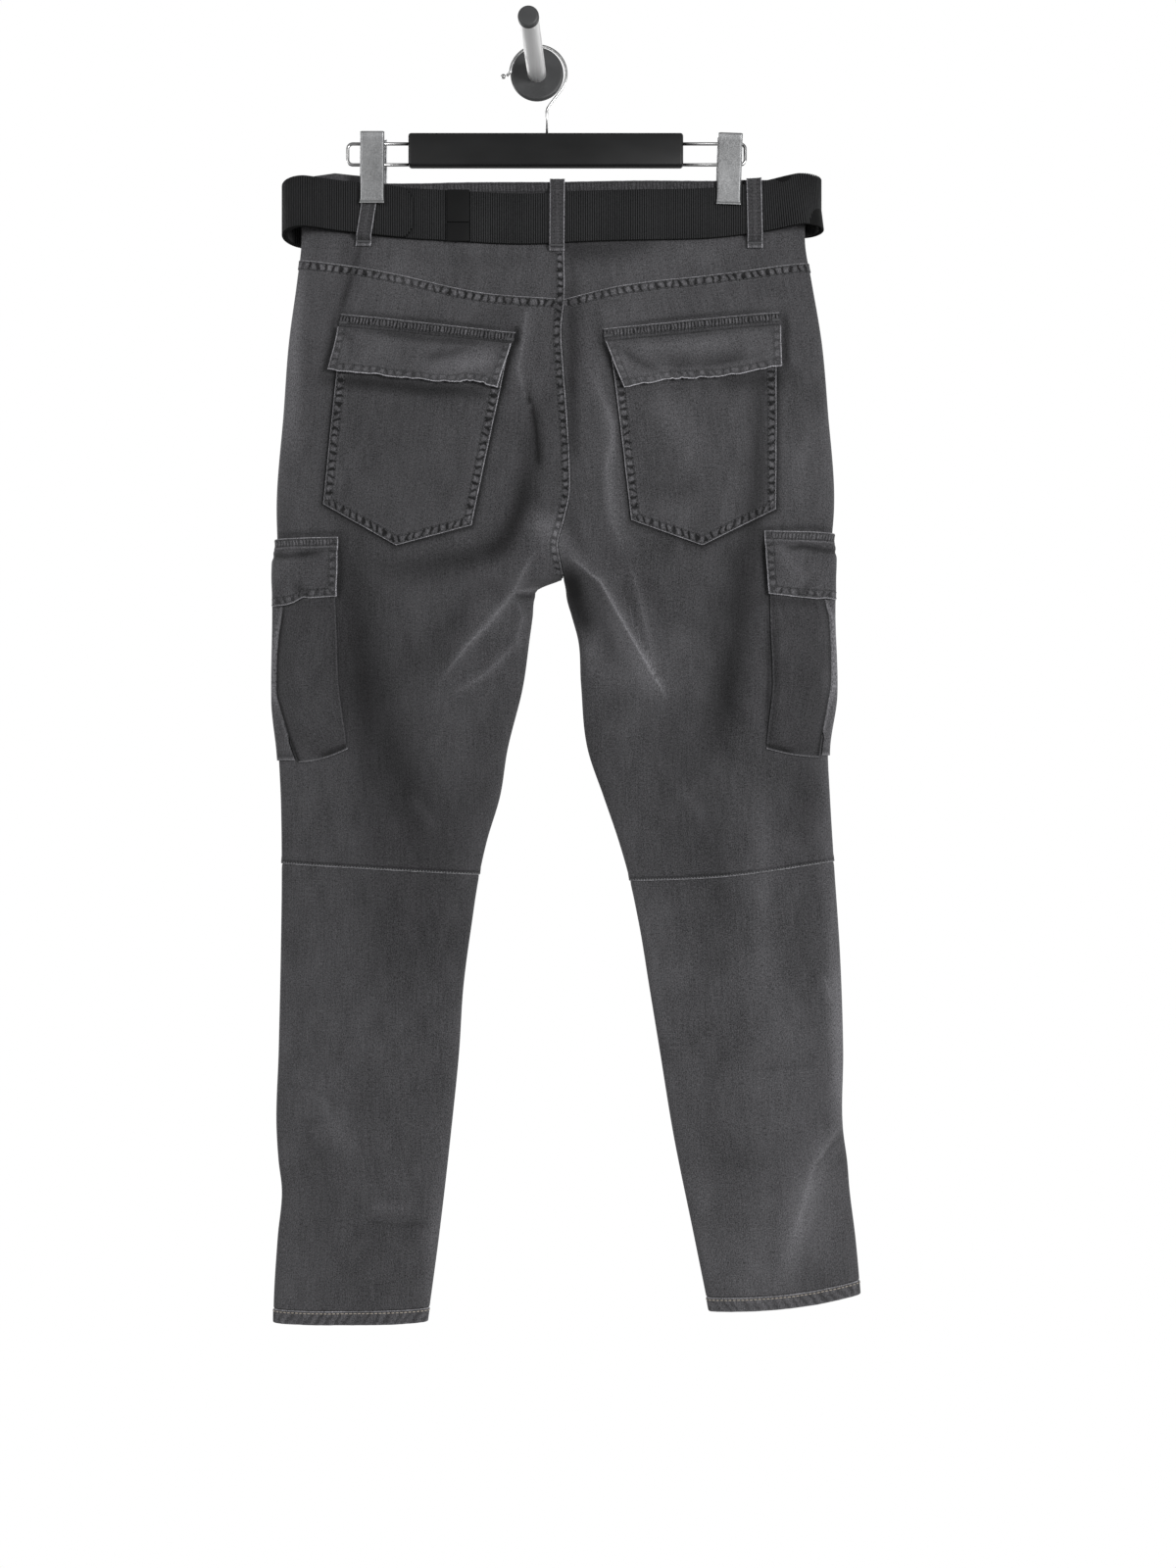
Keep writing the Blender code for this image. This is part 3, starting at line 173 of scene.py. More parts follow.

# Soft patches of painted light and shade, with some washed-out dye: painted light and paler dye above 0,
# painted shade below 0, over the folds, along the sides and round the pockets. The under ones leave out the
# pieces that lie on the panels and pockets
Fade = namedtuple("Fade", "face under wash width path")
BACK_PAINTED_TONES = (
    (-0.34, 20, ((-228, 290), (-208, 350), (-197, 430), (-188, 500), (-168, 560), (-140, 630),
        (-112, 720))),
    (-0.22, 30, ((-200, 420), (-178, 520), (-140, 610), (-104, 690))),
    (-0.28, 8, ((191, 150), (191, 230), (189, 300), (184, 370))),
    (-0.4, 18, ((188, 290), (184, 380), (176, 430), (161, 490), (150, 540), (138, 600))),
    (-0.38, 8, ((9, 50), (9, 120), (9, 200), (8, 270), (4, 330))),
    (-0.52, 12, ((-27, 190), (-26, 240), (-31, 290), (-44, 334), (-58, 358), (-90, 374), (-140, 380),
        (-200, 376))),
    (-0.72, 10, ((-4, 366), (6, 388), (12, 402), (17, 418), (22, 436), (26, 462))),
    (-0.25, 14, ((-50, 385), (-92, 416), (-130, 465), (-165, 505))),
    (-0.18, 10, ((-112, 151), (-84, 149), (-64, 142), (-50, 120))),
    (-0.2, 8, ((-212, 40), (-212, 100), (-216, 156))),
    (-0.18, 55, ((-190, 190), (-150, 270), (-110, 350))),
    (-0.16, 16, ((60, 388), (72, 420), (84, 450), (92, 480))),
    (-0.14, 10, ((64, 302), (90, 306), (120, 306), (150, 310))),
    (0.2, 13, ((-44, 330), (-14, 343), (-4, 358), (8, 370), (30, 384))),
    (0.1, 10, ((54, 190), (46, 250), (50, 310), (55, 345), (64, 392))),
    (0.16, 11, ((24, 396), (44, 434), (68, 470), (104, 516))),
    (0.08, 16, ((84, 214), (112, 246), (136, 296))),
    (0.06, 14, ((84, 322), (108, 330), (130, 340))),
    (0.05, 24, ((70, 520), (100, 500), (118, 430))),
    (0.1, 13, ((-150, 192), (-96, 190), (-66, 182), (-52, 172))),
    (0.1, 9, ((46, 168), (58, 186), (72, 200), (118, 202))),
    (0.05, 26, ((-200, 96), (-150, 92), (-100, 92))),
    (0.06, 18, ((40, 84), (110, 76), (180, 66))),
    (0.1, 8, ((-262, 30), (-268, 150), (-280, 300), (-284, 440))),
    (0.05, 8, ((240, 40), (258, 220), (268, 400))),
    (0.06, 20, ((-96, 430), (-74, 430), (-50, 425))),
    (0.07, 9, ((-283, 540), (-280, 800), (-286, 1119))),
    (0.07, 8, ((-92, 740), (-110, 930), (-125, 1036), (-134, 1140))),
    (0.07, 14, ((-270, 862), (-246, 892), (-222, 925), (-200, 965))),
    (0.2, 9, ((268, 740), (272, 850), (274, 930), (270, 965))),
    (0.16, 13, ((280, 908), (252, 950), (235, 990), (222, 1040), (210, 1100))),
    (0.06, 24, ((262, 960), (250, 1010), (236, 1070))),
    (0.1, 34, ((190, 960), (186, 1040), (180, 1130))),
    (0.05, 34, ((190, 740), (190, 860), (180, 960))),
    (0.07, 8, ((50, 620), (84, 760), (107, 932), (128, 1036), (148, 1130))),
    (-0.2, 9, ((150, 590), (150, 660), (154, 750))),
    (-0.12, 10, ((234, 540), (238, 660), (230, 800))),
    (-0.12, 10, ((120, 955), (165, 961), (200, 962))),
    (0.08, 9, ((192, 580), (194, 680), (192, 820))),
    (-0.1, 14, ((-240, 920), (-232, 990), (-242, 1110))),
    (-0.1, 16, ((120, 1000), (170, 1012), (214, 1006))),
    (-0.14, 7, ((-210, 1026), (-175, 1030), (-140, 1030))),
    (-0.5, 3.2, ((-198, 50), (-200, 70), (-206, 96), (-216, 131), (-220, 142))),
    (-0.5, 3.4, ((-200, 152), (-180, 156), (-135, 162.5), (-100, 165.5), (-58, 169))),
    (-0.45, 4.5, ((-142, 182), (-131, 180), (-110, 177), (-93, 173), (-84, 169))),
    (-0.3, 4, ((-216, 155), (-209, 158), (-200, 165))),
    (0.08, 6, ((-110, 190), (-90, 187), (-74, 184), (-62, 178))),
    (-0.5, 3.6, ((44, 165), (56, 173), (75, 185), (90, 193), (98, 199))),
    (-0.36, 6, ((84, 181), (96, 182), (120, 184), (150, 183), (190, 174))),
    (-0.35, 2.6, ((86, 184), (107, 189), (141, 188), (190, 178), (200, 174))),
    (0.06, 6, ((58, 168), (80, 172), (130, 168), (180, 163))),
    (-0.24, 16, ((-196, 330), (-204, 430), (-200, 520), (-190, 600), (-180, 700))),
    (-0.2, 60, ((-160, 300), (-165, 420), (-165, 560), (-170, 720), (-180, 880))),
    (-0.18, 26, ((-90, 520), (-96, 620), (-112, 720), (-126, 820))),
    (-0.24, 30, ((236, 400), (236, 480), (232, 580), (228, 680))),
    (-0.3, 12, ((172, 180), (190, 240), (186, 310), (170, 400), (164, 480), (150, 600))),
    (-0.16, 30, ((110, 470), (116, 560), (128, 640), (140, 700))),
    (-0.4, 9, ((-30, 280), (-40, 320), (-50, 346), (-62, 366), (-90, 384))),
    (-0.35, 7, ((2, 322), (9, 348), (15, 362), (28, 378))),
    (-0.6, 8, ((3, 350), (6, 380), (9, 402), (12, 422), (15, 446))),
    (-0.12, 60, ((130, 260), (140, 420), (140, 560), (150, 740))),
    (-0.1, 70, ((-170, 220), (-170, 420), (-170, 620), (-180, 860))),
    (-0.16, 12, ((-196, 370), (-170, 384), (-130, 392), (-80, 396))),
    (-0.16, 14, ((148, 380), (146, 440), (160, 500), (176, 560))),
    (0.16, 9, ((264, 660), (266, 760), (268, 860), (270, 960))),
    (0.16, 8, ((-262, 60), (-262, 180), (-262, 300))),
    (-0.4, 9, ((4, 390), (9, 402), (14, 414))),
    (-0.1, 16, ((-60, 212), (-58, 300), (-64, 350))),
    (-0.1, 18, ((192, 190), (190, 260), (180, 330))),
    (0.05, 10, ((-276, 740), (-276, 820), (-274, 900))),
    (0.08, 9, ((-120, 960), (-126, 1040), (-130, 1140))),
    (0.08, 12, ((128, 940), (140, 1040), (150, 1140))),
    (-0.2, 16, ((-56, 480), (-70, 530), (-80, 600), (-92, 660))),
    (-0.18, 10, ((-197, 420), (-193, 500), (-190, 590))),
    (0.035, 22, ((-172, 60), (-152, 110), (-130, 150))),
    (0.03, 34, ((60, 60), (70, 120), (90, 190), (100, 260))),
    (-0.16, 12, ((176, 196), (206, 206), (240, 210), (262, 240))),
    (-0.25, 14, ((140, 350), (160, 366), (166, 400), (160, 450))),
    (-0.35, 6, ((176, 412), (210, 414), (262, 416))),
    (-0.2, 5, ((4, 80), (8, 140), (10, 220), (14, 300))),
    (0.18, 9, ((-256, -30), (-262, 100), (-270, 200), (-277, 320))),
    (0.06, 12, ((-272, 860), (-272, 980), (-276, 1090), (-280, 1180))),
    (0.1, 8, ((262, 380), (260, 540), (262, 680), (270, 780))),
    (0.05, 30, ((60, 600), (80, 700), (110, 860), (140, 1100))),
    (0.03, 40, ((200, 620), (206, 740), (220, 880), (240, 1080))),
    (0.07, 22, ((20, 430), (32, 450), (44, 474), (56, 510))),
    (0.05, 16, ((40, 100), (50, 140), (36, 190), (34, 250))),
)
# Painted shadows by the belt, under the flaps and their strips, and beside the cargo pockets
UNDER_PAINTED_SHADOWS = (
    (-0.5, 14, ((-22, 70), (12, 72), (50, 70), (110, 64))),
    (-0.16, 8, ((-180, 74), (-120, 82), (-60, 84), (-20, 80))),
    (-0.45, 7, ((-262, 199), (-200, 204), (-140, 211), (-90, 213), (-40, 217))),
    (-0.2, 6, ((40, 216), (90, 210), (130, 207), (190, 200))),
    (-0.4, 9, ((140, 206), (180, 202), (205, 198), (240, 192))),
    (-0.55, 5, ((-45, 142), (-48, 166), (-60, 208), (-66, 222))),
    (-0.85, 3, ((-47, 146), (-43.5, 154), (-44, 162), (-48, 172))),
    (-0.5, 4.5, ((-220, 124), (-223, 150), (-233, 200))),
    (-0.5, 2.4, ((-232, 130), (-214, 133.5), (-130, 143), (-46, 152.5), (-30, 154))),
    (-0.5, 2.4, ((24, 151), (40, 149), (125, 139), (209, 131), (226, 130))),
    (-0.75, 4.5, ((34, 140), (38, 166), (55, 206), (62, 226))),
    (-0.6, 4, ((214, 122), (216.5, 148), (216, 200))),
    (-0.35, 6, ((-213, 340), (-216, 380), (-219, 424))),
    (-0.55, 4, ((190, 340), (196, 380), (201, 420))),
    (-0.25, 6, ((-219, 400), (-216, 480), (-209, 570))),
    (-0.55, 3.2, ((200, 396), (200, 480), (197, 576))),
    (-0.4, 3, ((-294, 350), (-250, 349), (-216, 349), (-200, 349))),
    (-0.4, 3, ((176, 345), (194, 345), (240, 343), (280, 344))),
    (-0.4, 8, ((-262, 190), (-200, 202), (-130, 210), (-60, 214))),
)
# On the front: painted light on the thighs, painted shade down the middle, along the sides and by the crotch
FRONT_PAINTED_TONES = (
    (0.1, 34, ((-150, 300), (-165, 430), (-170, 560))),
    (0.1, 34, ((140, 300), (150, 430), (150, 560))),
    (0.09, 30, ((-190, 640), (-188, 700), (-190, 760))),
    (0.09, 30, ((160, 640), (166, 700), (176, 760))),
    (-0.3, 9, ((-8, 60), (-8, 200), (-6, 330))),
    (-0.25, 16, ((-210, 330), (-200, 430), (-180, 560), (-150, 660))),
    (-0.25, 16, ((190, 330), (182, 430), (165, 560), (140, 660))),
    (-0.4, 12, ((-10, 384), (-24, 410), (-32, 450))),
    (-0.4, 12, ((8, 384), (14, 410), (22, 450))),
)
PAINTED_TONES = [
    *(Fade(BACK, False, *row) for row in BACK_PAINTED_TONES),
    *(Fade(BACK, True, *row) for row in UNDER_PAINTED_SHADOWS),
    *(Fade(FRONT, False, *row) for row in FRONT_PAINTED_TONES),
]

# The centre back seam wanders: x by drop
CENTRE_SEAM = (
    (60, 122, 150, 190, 235, 281, 313, 338, 360, 376, 392), (0, 0.8, -2, 0, 3.5, 6, 5.8, 0, -5.6, -3, 0),
)
WANDER_REACH = 26.0

# Low unevenness all over hanging cloth: wavelengths across and down, height
RIPPLES = ((61, 97, 0.32), (37, 53, 0.2), (143, 71, 0.4), (23, 41, 0.1))


# ---------------------------------------------------------------- the hanging cloth's surface


def along(knots, values, at):
    """A smooth curve through a table's values, flat outside it."""
    knots, values = np.asarray(knots, float), np.asarray(values, float)
    slopes = np.gradient(values, knots)
    at = np.clip(at, knots[0], knots[-1])
    i = np.clip(np.searchsorted(knots, at) - 1, 0, len(knots) - 2)
    step = knots[i + 1] - knots[i]
    t = (at - knots[i]) / step
    ends = (1 + 2 * t) * (1 - t) ** 2 * values[i] + t * t * (3 - 2 * t) * values[i + 1]
    return ends + t * (1 - t) * step * ((1 - t) * slopes[i] - t * slopes[i + 1])


def column(rows, name):
    """One named column of a table."""
    return [getattr(row, name) for row in rows]


def ease(t):
    """0 to 1, level at both ends."""
    t = np.clip(t, 0, 1)
    return t * t * (3 - 2 * t)


def bump(t):
    """1 at 0, fading to nothing by about 2."""
    return np.exp(-np.square(t))


def uneven(run, kind, wave):
    """A smooth made-up variation between -1 and 1 along a run. kind picks another one."""
    a = np.sin(run / wave * 2.1 + 1.7 * kind)
    b = np.sin(run / wave * 3.7 + 2.9 * kind + 1.3)
    c = np.sin(run / wave * 6.3 + 4.1 * kind + 0.4)
    return (a + 0.7 * b + 0.5 * c) / 2.2


def side_width(side, drop):
    """How far the side seam is from the centre."""
    return along(column(SECTIONS, "drop"), column(SECTIONS, "left" if side < 0 else "right"), drop)


def inner_width(side, drop):
    """How far a half's inner edge is from the centre: half a seam's gap down to the crotch."""
    out = along(column(INSEAMS, "drop"), column(INSEAMS, "left" if side < 0 else "right"), drop)
    return np.maximum(out, SEAM / 2)


def pinched(x, drop):
    """How much the clips take off the half thickness."""
    share = sum(bump((x - clip) / PINCH_WIDTH) for clip in CLIP_X)
    return PINCH * share * (1 - ease((drop - PINCH_ENDS[0]) / (PINCH_ENDS[1] - PINCH_ENDS[0])))


def near_path(x, drop, path):
    """Distance to a path, below 0 on its one side, and the share of the way along it of the nearest point."""
    path = np.array(path, float)
    spans = np.hypot(*np.diff(path, axis=0).T)
    starts = np.concatenate(([0], np.cumsum(spans)))
    near = np.full(np.broadcast(x, drop).shape, np.inf)
    share = np.zeros(near.shape)
    for k, span in enumerate(spans):
        way = (path[k + 1] - path[k]) / span
        from_x, from_drop = x - path[k][0], drop - path[k][1]
        t = np.clip(from_x * way[0] + from_drop * way[1], 0, span)
        gap = np.hypot(from_x - t * way[0], from_drop - t * way[1])
        closer = gap < np.abs(near)
        share = np.where(closer, (starts[k] + t) / starts[-1], share)
        near = np.where(closer, np.copysign(gap, from_x * way[1] - from_drop * way[0]), near)
    return near, share


def painted_light_and_shade(x, drop, face, under):
    """How much painted light and washed-out dye make the cloth paler, and how much painted shade makes it
    darker.
    """
    rows = [fade for fade in PAINTED_TONES if under or not fade.under]
    paler = fold_height([fade for fade in rows if fade.wash > 0], x, drop, face, "wash")
    darker = np.ones(np.shape(x))
    for fade in rows:
        if fade.wash < 0:
            darker = darker * (1 + fold_height([fade], x, drop, face, "wash"))
    return paler, 1 - darker


def fold_height(rows, x, drop, face, value):
    """The sum of a named column of folds or creases at points, each fading towards its ends."""
    total = np.zeros(np.broadcast(x, drop).shape)
    for row in rows:
        mine = face == row.face
        if getattr(row, value) and np.any(mine):
            near, share = near_path(x, drop, row.path)
            taper = ease(share / 0.3) * ease((1 - share) / 0.3)
            total += getattr(row, value) * taper * bump(near / row.width) * mine
    return total


RUB_AND_SHADE_REACH = 18.0
FAR_FROM_RUB_AND_SHADE = 50.0


def rub_and_shade_lines(lines, x, drop):
    """The nearest line's distance, below 0 on one side, and its strength.

    A line is a path, its strength, pale with wear and painted highlight above 0 and painted shade below 0,
    and whether it tapers to its ends.
    """
    shape = np.broadcast(x, drop).shape
    gap, strength = np.full(shape, FAR_FROM_RUB_AND_SHADE), np.zeros(shape)
    for path, rub, tapered in lines:
        near, share = near_path(x, drop, path)
        closer = np.abs(near) < np.abs(gap)
        gap = np.where(closer, near, gap)
        taper = ease(share / 0.15) * ease((1 - share) / 0.15) if tapered else 1.0
        reach = 1 - ease((np.abs(near) - RUB_AND_SHADE_REACH / 2) / (RUB_AND_SHADE_REACH / 2))
        strength = np.where(closer, rub * taper * reach, strength)
    return gap, strength


def relief(x, drop, face):
    """The height of folds, creases and ripples."""
    total = fold_height(FOLDS, x, drop, face, "height") + fold_height(CREASES, x, drop, face, "height")
    ripple = 0
    for k, (wave_x, wave_drop, height) in enumerate(RIPPLES):
        turn = 2 * np.pi * (x / wave_x + np.sin(drop / wave_drop + k) * 0.6)
        ripple = ripple + height * np.sin(turn + face + k) * np.cos(2 * np.pi * drop / wave_drop + 2 * k)
    return total + ripple * ease((drop - 60) / 60)


def off_seam(turn, way=1):
    """A turn that is never just on the side seam. way picks the face it goes to."""
    return np.where(turn == 0, way * OFF_SEAM, turn)


def rounding(t):
    """The cloth's turn into an edge: 0 at the edge, 1 where it is flat."""
    return np.sqrt(1 - (1 - np.clip(t, 0, 1)) ** 2.5)


def wander(x, drop, face):
    """How far the centre back seam pulls the cloth sideways."""
    return along(*CENTRE_SEAM, drop) * bump(x / WANDER_REACH) * (face == BACK)


def bare(side, turn, drop):
    """A point of the outer face. turn is 0 on the side seam, 1 or -1 on the back's or front's inner edge."""
    share = (1 - np.cos(np.pi * np.abs(turn))) / 2
    outer, inner = side_width(side, drop), inner_width(side, drop)
    x = side * (outer + (inner - outer) * share)
    face = np.where(turn >= 0, BACK, FRONT)
    climb = np.clip((CROTCH - drop) / CROTCH_RISE, 0, 1)
    joined = 1 - (1 - climb) ** 2
    depth = along(column(SECTIONS, "drop"), column(SECTIONS, "depth"), drop) - pinched(x, drop)
    depth = depth * rounding(2 * share) * np.sqrt(joined + (1 - joined) * rounding(2 - 2 * share) ** 2)
    joined = np.sqrt(joined)
    fade = ease(share / 0.06) * (joined + (1 - joined) * ease((1 - share) / 0.06))
    x = x + wander(x, drop, face)
    return np.stack((x, -face * (SEAM / 2 + depth + relief(x, drop, face) * fade), -drop + 0 * x), -1)


def skin(side, turn, drop):
    """Points on the cloth and the outward directions there."""
    turn, drop = np.broadcast_arrays(np.asarray(turn, float), np.asarray(drop, float))
    step = 0.004
    across = bare(side, np.minimum(turn + step, 1), drop) - bare(side, np.maximum(turn - step, -1), drop)
    down = bare(side, turn, drop + 0.5) - bare(side, turn, drop - 0.5)
    outward = side * np.cross(across, down)
    outward /= np.maximum(np.linalg.norm(outward, axis=-1, keepdims=True), 1e-9)
    return bare(side, turn, drop), outward


def turn_at(side, x, drop, face=BACK):
    """The turn whose point has this x."""
    outer, inner = side_width(side, drop), inner_width(side, drop)
    still = x
    for _ in range(4):
        still = x - wander(still, drop, face)
    share = np.clip((outer - side * still) / (outer - inner), 0, 1)
    return np.arccos(1 - 2 * share) / np.pi


def on_back(x, drop):
    """Points and outward directions on the back, at x."""
    x, drop = np.broadcast_arrays(np.asarray(x, float), np.asarray(drop, float))
    left, left_out = skin(-1, turn_at(-1, x, drop), drop)
    right, right_out = skin(1, turn_at(1, x, drop), drop)
    centre = along(*CENTRE_SEAM, drop)
    mine = (x < centre)[..., None]
    return np.where(mine, left, right), np.where(mine, left_out, right_out)


def on_front(side, x, drop):
    """Points and outward directions on one half of the front, at x."""
    x, drop = np.broadcast_arrays(np.asarray(x, float), np.asarray(drop, float))
    return skin(side, np.minimum(-turn_at(side, x, drop, FRONT), -OFF_SEAM), drop)


def round_side(side, inset, drop):
    """Points round the side seam. inset is how far in from the side, negative on the front."""
    share = np.clip(np.abs(inset) / (side_width(side, drop) - inner_width(side, drop)), 0, 1)
    turn = np.sign(inset) * np.arccos(1 - 2 * share) / np.pi
    return skin(side, np.where(inset < 0, np.minimum(turn, -OFF_SEAM), turn), drop)


def seam_drop(seam, side, turn):
    """The drop of a crossing seam at a turn."""
    return along(*seam[side], (1 - np.cos(np.pi * np.abs(turn))) / 2)


def placed(points):
    """From the garment's millimetres to metres from the origin."""
    return (np.asarray(points, float) + (CENTRE_X, HANGER_Y, WAIST_Z)) * MM


# ---------------------------------------------------------------- making pieces

STITCH_PITCH = 3.7

# A surface laid out as a grid, with each point's distances from the grid's four edges
Grid = namedtuple("Grid", "u v points outward left right top bottom")

EDGE_LINES = (0.15, 0.45, 1.0)
SEAM_LINES = (0.15, 0.45, 1.0, 1.8, 2.6, 5.2, 7.8, 8.8, 9.6, 10.4)
SEAMLESS = 1000.0


def run_length(points, axis):
    """Distance along the rows or columns of a grid of points."""
    steps = np.linalg.norm(np.diff(points, axis=axis), axis=-1)
    start = np.zeros_like(np.take(steps, [0], axis))
    return np.concatenate((start, np.cumsum(steps, axis)), axis)


def stations(surface, step, lines, downwards=False):
    """Shares across or down a surface: equal steps, with closer lines near its edges."""
    fine = np.linspace(0, 1, 801)
    middle = np.full(fine.shape, 0.5)
    line = surface(middle, fine)[0] if downwards else surface(fine, middle)[0]
    run = run_length(line, 0)
    lines = np.array([0, *[inset for inset in lines if inset < run[-1] * 0.45]])
    count = max(int((run[-1] - 2 * lines[-1]) / step) + 1, 2)
    inner = np.linspace(lines[-1], run[-1] - lines[-1], count)
    wanted = np.concatenate((lines[:-1], inner, run[-1] - lines[-2::-1] if len(lines) > 1 else []))
    return np.interp(wanted, run, fine)


def laid(surface, across, down):
    """A grid of points on a surface."""
    u, v = np.meshgrid(across, down)
    points, outward = surface(u, v)
    left, top = run_length(points, 1), run_length(points, 0)
    return Grid(u, v, points, outward, left, left[:, -1:] - left, top, top[-1:] - top)


def grid_on(surface, step, lines, row_step, row_lines):
    """A grid with even steps across and down a surface, and closer lines near its edges."""
    down = stations(surface, row_step, row_lines, downwards=True)
    return laid(surface, stations(surface, step, lines), down)


def facing(points, sign):
    """Outward directions of a grid of points that faces the front or the back."""
    outward = np.cross(np.gradient(points, axis=1), np.gradient(points, axis=0))
    outward *= sign * np.sign(outward[..., 1:2])
    return outward / np.linalg.norm(outward, axis=-1, keepdims=True)


def quads(rows, columns, first, closed=False):
    """Faces of a grid of points, row by row."""
    index = first + np.arange(rows * columns).reshape(rows, columns)
    if closed:
        index = np.concatenate((index, index[:, :1]), 1)
    corners = (index[:-1, :-1], index[:-1, 1:], index[1:, 1:], index[1:, :-1])
    return np.stack(corners, -1).reshape(-1, 4)


def build(name, points, faces, finish, replaces=(), uv=None, seam=None, values=None):
    """An object from arrays of points in metres and faces."""
    mesh = bpy.data.meshes.new(name)
    mesh.from_pydata(points.tolist(), [], faces.tolist())
    mesh.shade_smooth()
    loops = np.empty(len(mesh.loops), int)
    mesh.loops.foreach_get("vertex_index", loops)
    for layer, places in (("weave", uv), ("seam", seam)):
        if places is not None:
            mesh.uv_layers.new(name=layer).data.foreach_set("uv", places[loops].ravel())
    for key, numbers in (values or {}).items():
        mesh.attributes.new(key, "FLOAT", "POINT").data.foreach_set("value", numbers)
    return piece(name, mesh, finish, replaces)


def piece(name, mesh, finish, replaces=()):
    """Put a finished mesh in the scene as a piece of the object: give it its finish, hang it on the root body
    and hide the solids it stands for.
    """
    mesh.materials.append(finish)
    made = bpy.data.objects.new(name, mesh)
    bpy.context.scene.collection.objects.link(made)
    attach(made, "root")
    if replaces:
        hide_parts(*replaces)
    return made


def nearest_seam(grid, edges):
    """Distance from the nearest of the named edges, and the run along it."""
    far = np.full(grid.u.shape, SEAMLESS)
    distance, run = far, grid.left
    for letter, gap, way in (("L", grid.left, grid.top), ("R", grid.right, grid.top),
                             ("T", grid.top, grid.left), ("B", grid.bottom, grid.left)):
        if letter in edges:
            run = np.where(gap < distance, way, run)
            distance = np.minimum(gap, distance)
    return distance, run


def rim_between(index, faces, closed):
    """Faces that join a sheet's outer and inner side round its edge, turned as its own faces are."""
    if closed:
        loops = [np.append(index[0], index[0, 0]), np.append(index[-1], index[-1, 0])]
    else:
        loops = [np.concatenate((index[0], index[1:, -1], index[-1, -2::-1], index[-2::-1, 0]))]
    below = index.size
    rim = [np.stack((loop[:-1], loop[1:], loop[1:] + below, loop[:-1] + below), -1) for loop in loops]
    sides = (faces[:, :2], faces[:, 1:3], faces[:, 2:4], faces[:, [3, 0]])
    ahead = set(map(tuple, np.concatenate(sides)))
    rim = np.concatenate(rim).tolist()
    return np.array([quad if (quad[1], quad[0]) in ahead else quad[::-1] for quad in rim])


def cut_size(outer, faces, closed):
    """A sheet's flat width and length and its area, in metres."""
    face = outer.reshape(-1, 3)[faces]
    doubled = np.linalg.norm(np.cross(face[:, 2] - face[:, 0], face[:, 3] - face[:, 1]), axis=1)
    area = doubled.sum() / 2 * MM**2
    width = run_length(outer, 1)[:, -1].max() * MM
    if closed:
        width += np.linalg.norm(outer[:, -1] - outer[:, 0], axis=-1).max() * MM
    length = run_length(outer, 0)[-1].max() * MM
    return float(width), float(length), float(min(area, width * length))


EDGE_ROUNDING = 0.42


def cloth(name, grid, wall, finish, replaces=(), lift=0, wear=0, shade=0, rub=(FAR_FROM_RUB_AND_SHADE, 0), edges="",
          band=9.0, pitch=7.8, slant=0, pucker=1.0, closed=False, under=False, slot="denim", held="hung"):
    """A sheet of cloth with a thickness, on a grid. Returns the grid of its outer face.

    lift stands it off the grid. wear makes it paler, for wear and for painted highlights, and shade makes it
    darker, mostly with painted shade. rub is the distance from a line and its strength: a pale line of wear
    and painted highlight above 0, a line of painted shade below 0. edges names the seamed edges (L, R, T, B),
    each with a band as wide as band, where pucker gathers the cloth at a pitch, leaning by slant.
    """
    rows, columns = grid.u.shape
    nearest = np.minimum(grid.top, grid.bottom)
    if not closed:
        nearest = np.minimum(nearest, np.minimum(grid.left, grid.right))
    radius = EDGE_ROUNDING * wall
    sink = radius - np.sqrt(radius**2 - (radius - np.minimum(nearest, radius)) ** 2)
    outer = grid.points + grid.outward * (lift - sink)[..., None]
    inner = grid.points + grid.outward * (lift - wall + sink)[..., None]
    faces = quads(rows, columns, 0, closed)
    count = rows * columns
    middle = faces[len(faces) // 2]
    corner = outer.reshape(-1, 3)[middle]
    if np.cross(corner[1] - corner[0], corner[3] - corner[0]) @ grid.outward.reshape(-1, 3)[middle[0]] < 0:
        faces = faces[:, ::-1]
    rim = rim_between(np.arange(count).reshape(rows, columns), faces, closed)
    distance, run = nearest_seam(grid, edges)
    run = run + slant * distance
    if slot == "denim":
        # Painted light and shade from the soft patches, with some washed-out dye
        face = np.where(grid.outward[..., 1] < 0, BACK, FRONT)
        paler, darker = painted_light_and_shade(grid.points[..., 0], -grid.points[..., 2], face, under)
        wear, shade = wear + paler, 1 - (1 - shade) * (1 - darker)
    values = {"wear": wear, "shade": shade, "rub_and_shade_gap": rub[0], "rub": rub[1], "band": band, "pucker": pucker,
              "inside": 0}
    values = {key: np.tile((np.zeros(grid.u.shape) + number).ravel(), 2) for key, number in values.items()}
    values["inside"][count:] = 1
    start = 0.137 * (sum(map(ord, name)) % 29)
    uv = np.stack((grid.left * MM + start, grid.top * MM + start), -1).reshape(-1, 2)
    seam = np.stack((run * GATHER_PITCH / pitch * MM, distance * MM), -1).reshape(-1, 2)
    far_seam = np.stack((run * MM, np.full(run.shape, SEAMLESS * MM)), -1).reshape(-1, 2)
    points = placed(np.concatenate((outer.reshape(-1, 3), inner.reshape(-1, 3))))
    faces_all = np.concatenate((faces, faces[:, ::-1] + count, rim))
    made = build(name, points, faces_all, finish, replaces, np.tile(uv, (2, 1)),
                 np.concatenate((seam, far_seam)), values)
    if held:
        width, length, area = cut_size(outer, faces, closed)
    return grid._replace(points=outer)


def denim(node, grid, wall=POCKET_WALL, **how):
    """A sheet of denim that stands for the solid of its name."""
    return cloth(f"{node}_denim", grid, wall, DENIM, [node], **how)


